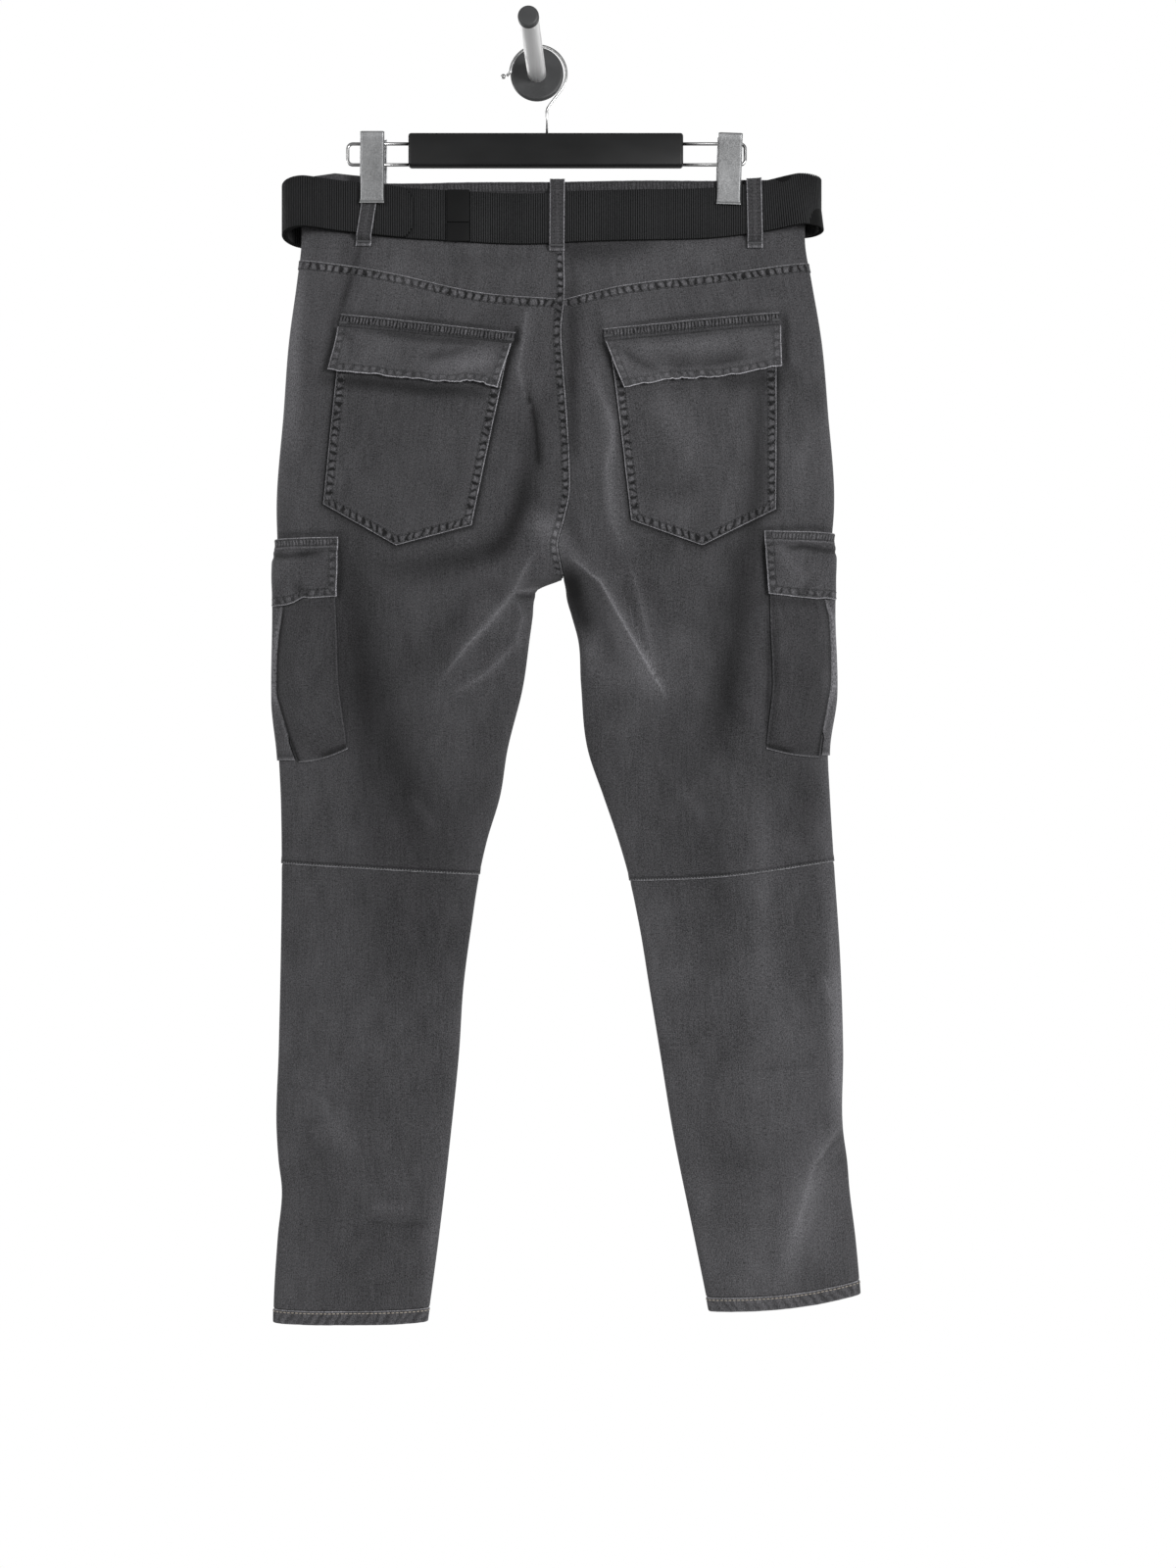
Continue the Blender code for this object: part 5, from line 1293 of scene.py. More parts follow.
def felled_seams():
    for word, side in SIDES.items():

        def surface(u, v, side=side):
            turn = np.maximum(u * 0.9999, 1e-5)
            return skin(side, turn, yoke_line(side, turn) + FELL_HALF * (2 * v - 1))

        grid = grid_on(surface, 2.2, EDGE_LINES, 1.4, EDGE_LINES)
        lift = FELL_RAISE - FELL_TUCK * ease((grid.v - 0.8) / 0.2) + 0.12 * uneven(grid.left, side, 3.0)
        dressed = cloth(f"yoke_{word}_fell", grid, FELL_WALL, DENIM, lift=lift, edges="T", band=9.6,
                        wear=0.12 * bump(grid.bottom / 1.2))
        rows = [contour(dressed, dressed.top, inset) for inset in (1.8, 8.6)]
        stitches(f"yoke_{word}_stitching", rows, TONAL_THREAD)

    def centre(u, v):
        drop = WAIST_SEAM + 2 + (CROTCH - 6 - WAIST_SEAM) * v
        return on_back(along(*CENTRE_SEAM, drop) - CENTRE_FELL * (1 - u) + 0.15 * u, drop)

    grid = grid_on(centre, 1.4, EDGE_LINES, 2.2, EDGE_LINES)
    drop = -grid.points[..., 2]
    over_yoke = 0.9 * bump((drop - 126) / 8)
    lift = FELL_RAISE + over_yoke - FELL_TUCK * ease(1 - grid.u / 0.16) + 0.12 * uneven(grid.top, 3, 3.0)
    dressed = cloth("centre_back_fell", grid, FELL_WALL, DENIM, lift=lift, edges="R", band=8.2, pitch=8.2,
                    wear=0.1 * bump(grid.left / 1.2), shade=0.5 * bump((drop - 136) / 5))
    rows = [contour(dressed, dressed.right, inset, down=False) for inset in (1.6, 7.2)]
    stitches("centre_back_stitching", rows, TONAL_THREAD)


# ---------------------------------------------------------------- back pockets

# Corners as (x, drop). edge lists the flap's lower edge, stand how far it stands off there
Pocket = namedtuple("Pocket", "strip flap_top edge stand patch_top patch_bottom")
BACK_POCKETS = {
    "left": Pocket(
        strip=((-215.5, 136), (-46, 155.5), (-217.5, 149), (-48, 166.5)),
        flap_top=((-217.5, 149.5), (-49, 167)),
        edge=((-226.5, 192), (-161.5, 200.5), (-108.5, 205.5), (-87, 204), (-63.5, 211)),
        stand=(4, 5, 4.5, 7, 5),
        patch_top=((-215.5, 156.5), (-53, 174)),
        patch_bottom=((-232, 321), (-161.5, 361.5), (-88.5, 342)),
    ),
    "right": Pocket(
        strip=((39, 151.5), (209.5, 134), (40, 164.5), (209.5, 147.5)),
        flap_top=((41, 165), (210, 148)),
        edge=((58.5, 211), (102.5, 203), (123, 202), (154.5, 200), (210.5, 188)),
        stand=(5, 7, 5, 5, 4),
        patch_top=((46, 172), (206.5, 155.5)),
        patch_bottom=((65.5, 337), (134.5, 361.5), (205.5, 326)),
    ),
}
POCKET_REST = 1.0
PATCH_PUFF = 0.8
FLAP_REST = 3.9
FLAP_NICKS = 1.1
OUTLINE_GAP = 0.9


def spread(points, share):
    """Points at shares of the way along a run of equally weighted corners."""
    points = np.array(points, float)
    knots = np.linspace(0, 1, len(points))
    return np.stack([np.interp(share, knots, points[:, k]) for k in range(points.shape[1])], -1)


def between(start, end, v):
    return start + (end - start) * np.asarray(v)[..., None]


def hem_raise(gap, band, height):
    """A doubled edge: raised as far in as its band."""
    return height * (1 - ease((gap - band + 0.4) / 1.4))


def outline(pocket):
    """Just outside a pocket's sides and tip."""
    left, right = pocket.patch_top
    bottom = [(x, drop + OUTLINE_GAP) for x, drop in pocket.patch_bottom]
    bottom[0] = (bottom[0][0] - OUTLINE_GAP, bottom[0][1])
    bottom[-1] = (bottom[-1][0] + OUTLINE_GAP, bottom[-1][1])
    return ((left[0] - OUTLINE_GAP, left[1]), *bottom, (right[0] + OUTLINE_GAP, right[1]))


POCKET_OUTLINES = [outline(pocket) for pocket in BACK_POCKETS.values()]


def back_between(upper, lower, u, v, longer=0):
    """Points on the back between two runs of corners."""
    spot = between(spread(upper, u), spread(lower, u), v)
    return on_back(spot[..., 0], spot[..., 1] + longer)


def back_pockets():
    for word, pocket in BACK_POCKETS.items():
        pocket_patch(word, pocket, SIDES[word])
        pocket_flap_strip(word, pocket, SIDES[word])
        pocket_flap(word, pocket, SIDES[word])


def pocket_patch(word, pocket, side):
    def patch(u, v):
        return back_between(pocket.patch_top, pocket.patch_bottom, u, v)

    grid = grid_on(patch, 3.0, SEAM_LINES, 3.0, SEAM_LINES)
    puff = PATCH_PUFF * np.sin(np.pi * grid.u) * np.sin(np.pi * grid.v)
    gap, run = nearest_seam(grid, "LRB")
    lift = POCKET_REST + POCKET_WALL + puff + hem_raise(gap, 9.4, 0.45) - 0.3
    lift = lift + 0.18 * uneven(run, side, 5.0) * bump(gap / 8)
    dressed = denim(f"back_pocket_{word}", grid, lift=lift, edges="LRB", band=9.4, under=True)
    stitches(f"back_pocket_{word}_stitching", edge_rows(dressed, (1.8, 8.4)), TONAL_THREAD)


def pocket_flap_strip(word, pocket, side):
    """The stitched strip that joins the flap to the panel."""

    def strip(u, v):
        return back_between(pocket.strip[:2], pocket.strip[2:], u, v)

    name = f"back_flap_strip_{word}"
    grid = grid_on(strip, 1.6, EDGE_LINES, 1.5, EDGE_LINES)
    lift = POCKET_REST + POCKET_WALL + 0.35 * bump((grid.top - 6) / 4) + 0.22 * uneven(grid.left, side, 2.6)
    dressed = denim(name, grid, lift=lift, edges="T", band=9.6, pitch=3.3, pucker=1.25,
                    wear=0.12 * bump(grid.top / 1.1), shade=0.22 + 0.3 * bump(grid.bottom / 1.6))
    rows = [contour(dressed, dressed.top, inset) for inset in (1.8, 8.6)]
    stitches(f"{name}_stitching", rows, TONAL_THREAD)
    row = np.searchsorted(grid.top[:, 0], 6.8)
    for end, first, last in (("inner", 1, 7), ("outer", -8, -2)):
        bar_tack(f"{name}_{end}_tack", dressed.points[row, first], dressed.points[row, last],
                 dressed.outward[row, first], TONAL_THREAD, 3.4)


def pocket_flap(word, pocket, side):
    """The flap: off the pocket at its lower edge, which is nicked and wavy."""

    def flap(u, v):
        nicks = FLAP_NICKS * np.minimum(uneven(u * 160, side, 9.0), 0.35) * v**6
        return back_between(pocket.flap_top, pocket.edge, u, v, nicks)

    grid = grid_on(flap, 2.2, SEAM_LINES, 2.2, SEAM_LINES)
    stand = np.interp(grid.u, np.linspace(0, 1, len(pocket.stand)), pocket.stand) - 2
    wavy = 0.7 * uneven(grid.left, side + 5, 17.0) * grid.v**2
    gap, run = nearest_seam(grid, "LRB")
    lift = FLAP_REST + POCKET_WALL + stand * grid.v**2 + wavy + hem_raise(gap, 9.0, 0.35)
    lift = lift + 0.35 * uneven(run, side + 1, 4.5) * bump(gap / 7)
    soft = uneven(grid.left + 0.6 * grid.top, side + 3, 26.0) * np.sin(np.pi * grid.v)
    # The flap is paler where it bulges, a painted highlight, and has painted shade at its top under the
    # strip; its edges are pale with wear
    dressed = denim(f"back_flap_{word}", grid, lift=lift + 0.9 * soft, edges="LRB", band=8.4, pitch=8.4,
                    pucker=0.55, wear=0.04 + 0.04 * soft + 0.5 * bump(gap / 1.1),
                    shade=0.35 * bump(grid.top / 5))
    stitches(f"back_flap_{word}_stitching", edge_rows(dressed, (1.8, 7.4)), TONAL_THREAD)


# ---------------------------------------------------------------- cargo pockets on the side seams

# pleat: how far the fold of the pleat is from the side, by drop
Cargo = namedtuple("Cargo", "top flap_edge flap_inset body_inset body_end pleat")
CARGOS = {
    "left": Cargo(
        top=353,
        flap_edge=((0, 12, 20, 29, 34, 62), (419, 418, 416, 411, 412, 411)),
        flap_inset=((353, 411), (63, 61)),
        body_inset=((405, 495, 552, 560), (58, 62, 69, 71)),
        body_end=(571, 558),
        pleat=((395, 419, 445, 472, 504, 528, 572), (9, 7, 4, 2, 2, 8, 22)),
    ),
    "right": Cargo(
        top=347,
        flap_edge=((0, 8, 16, 40, 62), (412, 411.5, 412.5, 410.5, 408)),
        flap_inset=((347, 407), (69, 62)),
        body_inset=((405, 495, 552, 560), (60, 59, 62, 62)),
        body_end=(566, 558),
        pleat=((395, 411, 430, 456, 496, 520, 565), (9, 7, 2, 2, 3, 6, 11)),
    ),
}
CARGO_REST = 0.8
CARGO_STAND = 6.2
CARGO_FLAP_STAND = 4.6
CARGO_STRIP = 12.0
CARGO_START = 28.0
CARGO_FLAT = 0.32
PLEAT_START = 50.0
PLEAT_REST = 1.1
PLEAT_WALL = 1.0
PLEAT_OUT = 4.4
CARGO_SWELL = 24.0


def pleat_reach(cargo, drop, v):
    """How far the pleat's cloth reaches from the side: on under the pocket, and short of it at the bottom."""
    return np.interp(drop, *cargo.pleat) + 6 - 9 * ease((v - 0.78) / 0.12)


def cargo_pockets():
    for word, side in SIDES.items():
        for face_word, face in (("back", BACK), ("front", FRONT)):
            cargo_body(f"cargo_{face_word}_{word}", CARGOS[word], side, face)
        cargo_pleat(f"cargo_pleat_{word}", CARGOS[word], side)
        cargo_flap(f"cargo_flap_{word}", CARGOS[word], side)


def cargo_body(node, cargo, side, face):
    """One half of the pocket, from the pleat's fold to its inner edge."""

    def body(u, v):
        start = cargo.top + CARGO_START
        end = cargo.body_end[0] + (cargo.body_end[1] - cargo.body_end[0]) * u**1.9
        drop = start + (end - start) * v
        outer, inner = np.interp(drop, *cargo.pleat), np.interp(drop, *cargo.body_inset)
        return round_side(side, face * (outer + (inner - outer) * u), drop)

    grid = grid_on(body, 2.6, SEAM_LINES, 2.8, SEAM_LINES)
    full = CARGO_FLAT + (1 - CARGO_FLAT) * ease((grid.v - 0.2) / 0.22)
    stand = CARGO_STAND * full * ease((1 - grid.u) / 0.12) * ease((1 - grid.v) / 0.08)
    sag = 0.3 * uneven(grid.top + 0.4 * grid.left, side + face, 34.0) * np.sin(np.pi * grid.u)
    lift = CARGO_REST + POCKET_WALL + (stand + sag) * (0.16 + 0.84 * ease(grid.left / CARGO_SWELL))
    rim = bump(grid.left / 3.2) * ease((grid.top - 30) / 20)
    tuck = bump((grid.bottom - 3.4) / 2.2) * ease((34 - grid.right) / 14)
    corner = 0.3 * bump((grid.right + grid.bottom) / 2)
    worn = 0.5 * bump(grid.bottom / 1.0) + 0.12 * bump(grid.right / 0.9) + corner
    shade = 1 - 0.86 * (1 - 0.85 * tuck) * (1 - 0.85 * rim)
    denim(node, grid, lift=lift - 1.2 * tuck, shade=shade, wear=worn)


def cargo_pleat(node, cargo, side):
    """The under layer of the bellows pleat, folded out along the side seam."""

    def under(u, v):
        start = cargo.top + PLEAT_START
        drop = start + (cargo.body_end[0] - 2 - start) * v
        across = off_seam(2 * u - 1)
        return round_side(side, pleat_reach(cargo, drop, v) * across * np.abs(across), drop)

    grid = grid_on(under, 1.6, (), 3.0, EDGE_LINES)
    drop = -grid.points[..., 2]
    inset = (2 * grid.u - 1) ** 2 * pleat_reach(cargo, drop, grid.v)
    fold = PLEAT_OUT * bump(inset / 2.2) * ease(grid.bottom / 60)
    near_fold = bump((np.interp(drop, *cargo.pleat) - inset - 1.2) / 1.3)
    worn = 0.03 + 0.12 * bump(inset / 1.6) + 0.35 * near_fold + 0.4 * bump(grid.bottom / 1.1)
    denim(node, grid, PLEAT_WALL, lift=PLEAT_REST + PLEAT_WALL + fold, wear=worn,
          shade=0.45 * bump((grid.bottom - 5) / 2.4))


def cargo_flap(node, cargo, side):
    """The flap round the side seam: a stitched strip along its top, a crease under it and a kink."""

    def flap(u, v):
        across = off_seam(2 * u - 1)
        end = np.interp(cargo.flap_inset[1][1] * across**2, *cargo.flap_edge)
        drop = cargo.top + (end - cargo.top) * v
        return round_side(side, np.interp(drop, *cargo.flap_inset) * across * np.abs(across), drop)

    grid = grid_on(flap, 2.0, SEAM_LINES, 1.4, EDGE_LINES)
    below = ease((grid.top - CARGO_STRIP * 0.5) / CARGO_STRIP)
    inset = np.interp(-grid.points[..., 2], *cargo.flap_inset) * (2 * grid.u - 1) ** 2
    wavy = 18.0 - 0.07 * inset + 1.4 * uneven(inset, side, 16.0)
    crease = bump((grid.top - wavy) / 3.2) * ease((58 - inset) / 24)
    kink = bump((inset - 29 + 0.5 * (grid.bottom - 4)) / 4) * ease((26 - grid.bottom) / 20)
    strip_edge = 0.5 * (1 - ease((grid.top - 9.6) / 0.9))
    soft = uneven(inset + 0.7 * grid.top, side + 4, 22.0) * np.sin(np.pi * grid.v)
    stand = CARGO_FLAP_STAND * below * (0.8 + 0.2 * grid.v)
    lift = CARGO_REST + POCKET_WALL + stand + strip_edge - 1.8 * crease
    lift = lift + 0.5 * uneven(grid.left, side + 7, 19.0) * grid.v**2 + 0.5 * soft - 0.9 * kink
    gap = nearest_seam(grid, "LRB")[0]
    # Painted shade below the strip's edge, in the crease and in the kink, and a painted highlight where the
    # flap bulges; the edges and the strip's edge are pale with wear
    dressed = denim(
        node, grid, lift=lift,
        shade=1 - (1 - 0.4 * bump((grid.top - 11) / 1.2)) * (1 - 0.75 * crease) * (1 - 0.6 * kink),
        wear=0.04 + 0.05 * soft + 0.2 * bump((grid.top - 9.6) / 0.8) + 0.25 * bump(gap / 1.1),
        edges="LRTB", band=8.8, pitch=np.where(grid.top < gap, 3.4, 8.0),
        pucker=np.where(grid.top < gap, 0.8, 0.7),
    )
    rows = edge_rows(dressed, (1.8, 7.5)) + [contour(dressed, dressed.top, 1.8)]
    stitches(f"{node}_stitching", rows, TONAL_THREAD)


# ---------------------------------------------------------------- belt and loops

# Belt webbing: its centre line's drop by x on the back and on the front
BELT_WIDTH = 49.4
BELT_WALL = 2.4
BELT_GAP = 1.3
BELT_TURN = 20.0
BELT_ENDS = (-251.6, 231.2)
BELT_FLARE = 6.0
BELT_FLARE_FROM = 206.0
BELT_SLANT = 0.13
BELT_SLANT_FROM = 170.0
BELT_BACK = ((-256, -206, -130, -21, 5, 139, 235), (27, 30, 38, 43, 41.5, 35.5, 24))
BELT_FRONT = ((-256, -130, 0, 100, 235), (37, 40, 40, 36, 27))
TAIL_END = -147.2
TAIL_CORNER = 9.0
BUCKLE_HALF = 25.0
BUCKLE_WALL = 5.0
BUCKLE_OUT = 3.0
KEEPER_X = (-112.8, -91.0)
KEEPER_WALL = 1.4
KEEPER_GAP = 0.7
RIB = 2.2
RIB_STAND = 0.45
RIB_UNEVENNESS = 0.001
KEEPER_JOINT = 0.37


def belt_depth(x):
    """From the hanger's plane to the middle of the webbing."""
    start = along(column(SECTIONS, "drop"), column(SECTIONS, "depth"), 0.0)
    half = (BELT_ENDS[1] - BELT_ENDS[0]) / 2
    from_middle = np.abs(x - sum(BELT_ENDS) / 2)
    flare = BELT_FLARE * ease((from_middle - BELT_FLARE_FROM) / (half - BELT_FLARE_FROM))
    return start - pinched(x, 0.0) + SEAM / 2 + BELT_GAP + BELT_WALL / 2 + flare


def belt_line(way):
    """The webbing's centre line: 0 to 1 front, to 2 right turn, to 3 back, to 4 left turn, to 5 front."""
    low, high = BELT_ENDS
    leg = np.clip(np.floor(way), 0, 4).astype(int)
    t = way - leg
    starts = np.array([BUCKLE_HALF + SEAM, high, high, low, low])
    ends = np.array([high, high, low, low, -BUCKLE_HALF - SEAM])
    run = starts[leg] + (ends[leg] - starts[leg]) * t
    turning = np.isin(leg, (1, 3))
    angle = np.choose(leg, [0 * t, t, 1 + 0 * t, 1 - t, 0 * t]) * np.pi
    x = run + np.where(turning, BELT_TURN * np.sin(angle) * np.where(leg == 1, 1, -1), 0)
    y = belt_depth(run) * np.cos(angle)
    mix = (1 - np.cos(angle)) / 2
    drop = along(*BELT_FRONT, run) * (1 - mix) + along(*BELT_BACK, run) * mix
    return np.stack((x, y, -drop), -1)


def belt_point(way, height, lift):
    """A point of the webbing and the outward direction: height up from its centre line, lift out from it."""
    step = 0.002
    direction = belt_line(np.minimum(way + step, 5)) - belt_line(np.maximum(way - step, 0))
    outward = np.stack((-direction[..., 1], direction[..., 0], 0 * way), -1)
    outward /= np.linalg.norm(outward, axis=-1, keepdims=True)
    line = belt_line(way)
    lean = -BELT_SLANT * ease((line[..., 0] - BELT_SLANT_FROM) / (BELT_ENDS[1] - BELT_SLANT_FROM))
    up = np.stack((lean, 0 * lean, 1 + 0 * lean), -1)
    return line + outward * lift + up * np.asarray(height)[..., None], outward


def on_back_run(x):
    """The way of the belt's back run at x."""
    return 2 + (BELT_ENDS[1] - x) / (BELT_ENDS[1] - BELT_ENDS[0])


def belt():
    tail_start = on_back_run(TAIL_END)

    def strap(u, v):
        return belt_point(5 * u, BELT_WIDTH * (0.5 - v), BELT_WALL / 2)

    def end_piece(u, v):
        way = tail_start + (5 - tail_start) * u
        from_end = (way - tail_start) * (BELT_ENDS[1] - BELT_ENDS[0])
        cut = TAIL_CORNER * np.clip(1 - from_end / TAIL_CORNER, 0, 1) ** 2
        return belt_point(way, (BELT_WIDTH / 2 - cut) * (1 - 2 * v), BELT_WALL * 1.5 + SEAM)

    for word, node, surface in (("strap", "belt", strap), ("tail", "belt_tail", end_piece)):
        grid = grid_on(surface, 3.0, (), 5.0, EDGE_LINES)
        cloth(f"belt_webbing_{word}", grid, BELT_WALL - RIB_STAND, WEBBING, [node], lift=-RIB_STAND,
              held="folded", slot="webbing")
        top, low = grid.points[0], grid.points[-1]
        share = np.linalg.norm(top - low, axis=-1) / BELT_WIDTH
        for place, sign, lift in (("outer", 1, -RIB_STAND), ("inner", -1, -BELT_WALL)):
            line = (top + low) / 2 + grid.outward[0] * lift
            ribs = [(line, sign * grid.outward[0], top - low, share)]
            laid_bars(f"belt_ribs_{word}_{place}", ribs, WEBBING, slot="webbing", unevenness=RIB_UNEVENNESS,
                      Pitch=RIB, Length=BELT_WIDTH - 0.6, Width=RIB * 0.98, Height=2.6 * RIB_STAND,
                      Rounding=0.5, Sink=0)
    middle = sum(KEEPER_X) / 2
    drop = float(along(*BELT_BACK, middle))
    outside = belt_depth(middle) + BELT_WALL / 2 + KEEPER_GAP + KEEPER_WALL / 2
    height = BELT_WIDTH + 1
    for word, share, low in (("lower", KEEPER_JOINT, 0.0), ("upper", 1 - KEEPER_JOINT, KEEPER_JOINT)):
        centre = (middle, -outside, -drop - height / 2 + height * (low + share / 2))
        size = (KEEPER_X[1] - KEEPER_X[0], KEEPER_WALL + 0.6, height * share - 0.25)
        rounded_block(f"belt_keeper_{word}", size, centre, 0.7, KEEPER_BLACK,
                      ["belt_keeper"] if word == "upper" else ())


def rounded_block(name, size, centre, radius, finish, replaces=(), segments=3):
    """A moulded block with rounded edges, its size and place in the garment's millimetres."""
    bm = bmesh.new()
    bmesh.ops.create_cube(bm, size=1)
    bmesh.ops.scale(bm, vec=size, verts=bm.verts)
    bmesh.ops.bevel(bm, geom=bm.edges[:], offset=radius, segments=segments, profile=0.5, affect="EDGES")
    for vert in bm.verts:
        vert.co = placed(np.array(vert.co) + centre)
    mesh = bpy.data.meshes.new(name)
    bm.to_mesh(mesh)
    bm.free()
    mesh.shade_smooth()
    return piece(name, mesh, finish, replaces)


# Loops over the belt: face, layers of webbing inside, x and drop of the top and of the bottom
Loop = namedtuple("Loop", "face layers top bottom")
LOOPS = {
    "belt_loop_back_left": Loop(BACK, 2, (-185.5, 2), (-195.5, 67)),
    "belt_loop_back_centre": Loop(BACK, 1, (-5.8, 4.4), (-6.2, 74.5)),
    "belt_loop_back_right": Loop(BACK, 1, (185.5, 1), (187.0, 69)),
    "belt_loop_front_left": Loop(FRONT, 2, (-120.0, 6), (-120.0, 73)),
    "belt_loop_front_right": Loop(FRONT, 1, (118.0, 6), (118.0, 68)),
}
LOOP_WIDTH = 14.6
LOOP_WALL = 1.6
LOOP_GAP = 1.0
LOOP_CLEAR = 2.2
LOOP_REST = 1.9
LOOP_TURN = 4.5
LOOP_CHANNEL = 3.9
# Shares across a loop where its grid has lines: close by the edges and the two rows of stitches
LOOP_ACROSS = (
    0, 0.02, 0.06, 0.13, 0.2, 0.24, 0.28, 0.32, 0.4, 0.5, 0.6, 0.68, 0.72, 0.76, 0.8, 0.87, 0.94, 0.98, 1,
)


def belt_loops():
    for name, loop in LOOPS.items():

        def surface(u, v, loop=loop):
            drop = loop.top[1] + (loop.bottom[1] - loop.top[1]) * v
            x = loop.top[0] + (loop.bottom[0] - loop.top[0]) * v + LOOP_WIDTH * (u - 0.5)
            line = along(*(BELT_BACK if loop.face == BACK else BELT_FRONT), x)
            layers = (loop.layers - 1) * (BELT_WALL + SEAM)
            over = belt_depth(x) + BELT_WALL / 2 + layers + LOOP_GAP + LOOP_WALL
            side = 1 if loop.top[0] > 0 else -1
            if loop.face == BACK:
                still = bare(side, turn_at(side, x, drop), drop)
            else:
                still = on_front(side, x, drop)[0]
            resting = np.abs(still[..., 1]) + LOOP_REST + LOOP_WALL
            outside = np.maximum(np.abs(drop - line) - BELT_WIDTH / 2 - LOOP_CLEAR, 0)
            reach = over + (resting - over) * ease(outside / LOOP_TURN)
            points = np.stack((x, -loop.face * reach, -drop), -1)
            return points, facing(points, -loop.face)

        grid = laid(surface, np.array(LOOP_ACROSS), np.linspace(0, 1, 60))
        fold = 0.5 * bump((grid.bottom - 3.5) / 2.5) + 0.4 * bump((grid.top - 2.5) / 2)
        from_edge = np.minimum(grid.left, grid.right)
        channels = -0.45 * bump((from_edge - LOOP_CHANNEL) / 0.9) + 0.25 * bump(from_edge / 2)
        # Painted shade along the stitch channels and above the bottom fold; the edges and the bottom line are
        # pale with wear
        dressed = denim(
            name, grid, LOOP_WALL, lift=fold + channels - 0.2, edges="LR", band=20.0, pitch=3.0,
            pucker=0.12, held="stretched", rub=(from_edge - LOOP_CHANNEL, -0.7),
            shade=0.6 * bump((grid.bottom - 5.5) / 1.6),
            wear=0.03 + 0.16 * bump(from_edge / 1.3) + 0.35 * bump((grid.bottom - 1) / 1.5),
        )
        rows = [contour(dressed, gaps, LOOP_CHANNEL, False) for gaps in (dressed.left, dressed.right)]
        stitches(f"{name}_stitching", rows, TONAL_THREAD)
        bar_tack(f"{name}_tack", dressed.points[-5, 2], dressed.points[-5, -3], dressed.outward[-5, 9],
                 TONAL_THREAD, 2.6)


# ---------------------------------------------------------------- front: fly, pockets, button and buckle

FLY_WIDTH = 38.0
FLY_DROPS = (70.0, 205.0)
FLY_REST = 1.3
WELT_LINE = ((150, 76), (158, 104), (182, 146), (222, 196), (240, 214))
WELT_WIDTH = 9.5
WELT_WALL = 1.0
BUTTON_DROP = 26.0
# Radius and reach of the button's rim, groove and raised middle
BUTTON_PROFILE = (
    (0, 0), (8.2, 0), (8.5, 0.5), (8.2, 1.3), (7.2, 1.7), (6.2, 1.35), (5.0, 1.3), (3.2, 1.6), (0, 1.8),
)


def fly():
    def placket(u, v):
        drop = FLY_DROPS[0] + (FLY_DROPS[1] - FLY_DROPS[0]) * v
        width = FLY_WIDTH * np.sqrt(np.clip(1 - np.clip((v - 0.7) / 0.32, 0, 1) ** 2, 0, 1))
        return on_front(1, 1.0 + width * u, drop)

    grid = grid_on(placket, 2.2, SEAM_LINES, 2.4, SEAM_LINES)
    dressed = denim("fly", grid, lift=FLY_REST + POCKET_WALL + 0 * grid.u, edges="RL", band=8.0)
    rows = [contour(dressed, dressed.right, inset, False) for inset in (1.8, 7.0)]
    stitches("fly_stitching", rows, TONAL_THREAD)


def front_welts():
    """The mouths of the slant pockets."""
    for word, side in SIDES.items():

        def welt(u, v, side=side):
            spot = spread(WELT_LINE, v)
            return on_front(side, side * (spot[..., 0] - WELT_WIDTH * (1 - u)), spot[..., 1])

        grid = grid_on(welt, 1.5, EDGE_LINES, 2.4, EDGE_LINES)
        lift = 0.95 - 1.3 * ease(1 - grid.u / 0.18)
        dressed = cloth(f"front_pocket_{word}_welt", grid, WELT_WALL, DENIM, lift=lift, edges="R", band=8.6)
        rows = [contour(dressed, dressed.right, inset, False) for inset in (1.8, 7.6)]
        stitches(f"front_pocket_{word}_stitching", rows, TONAL_THREAD)


def button_and_buckle():
    front = bare(1, np.array([-0.99]), np.array([BUTTON_DROP]))[0][1] + SEAM
    lathe("waist_button_cap", BUTTON_PROFILE, (0, front, -BUTTON_DROP), (0, 1, 0), PLATE,
          ["waist_button"])

    y = belt_depth(0.0) + BUCKLE_OUT
    drop = float(along(*BELT_FRONT, 0.0))
    plate = (2 * BUCKLE_HALF, BUCKLE_WALL - 1.6, BELT_WIDTH - 2)
    rounded_block("belt_buckle_plate", plate, (0, y - 0.8, -drop), 1.4, BUCKLE_METAL,
                  ["belt_buckle"])
    face = (2 * BUCKLE_HALF - 8, 1.4, BELT_WIDTH - 10)
    rounded_block("belt_buckle_face", face, (0, y + 1.7, -drop), 0.6, BUCKLE_METAL)


def closed_rings(name, rings, ends):
    """A smooth mesh over rings of points in metres, closed at both ends round the two end points."""
    count, sides = rings.shape[:2]
    faces = quads(count, sides, 0, closed=True).tolist()
    last = (count - 1) * sides
    for k in range(sides):
        after = (k + 1) % sides
        faces += [(last + sides, after, k), (last + sides + 1, last + k, last + after)]
    mesh = bpy.data.meshes.new(name)
    mesh.from_pydata(np.concatenate((rings.reshape(-1, 3), ends)).tolist(), [], faces)
    bm = bmesh.new()
    bm.from_mesh(mesh)
    bmesh.ops.recalc_face_normals(bm, faces=bm.faces)
    bm.to_mesh(mesh)
    bm.free()
    mesh.shade_smooth()
    return mesh


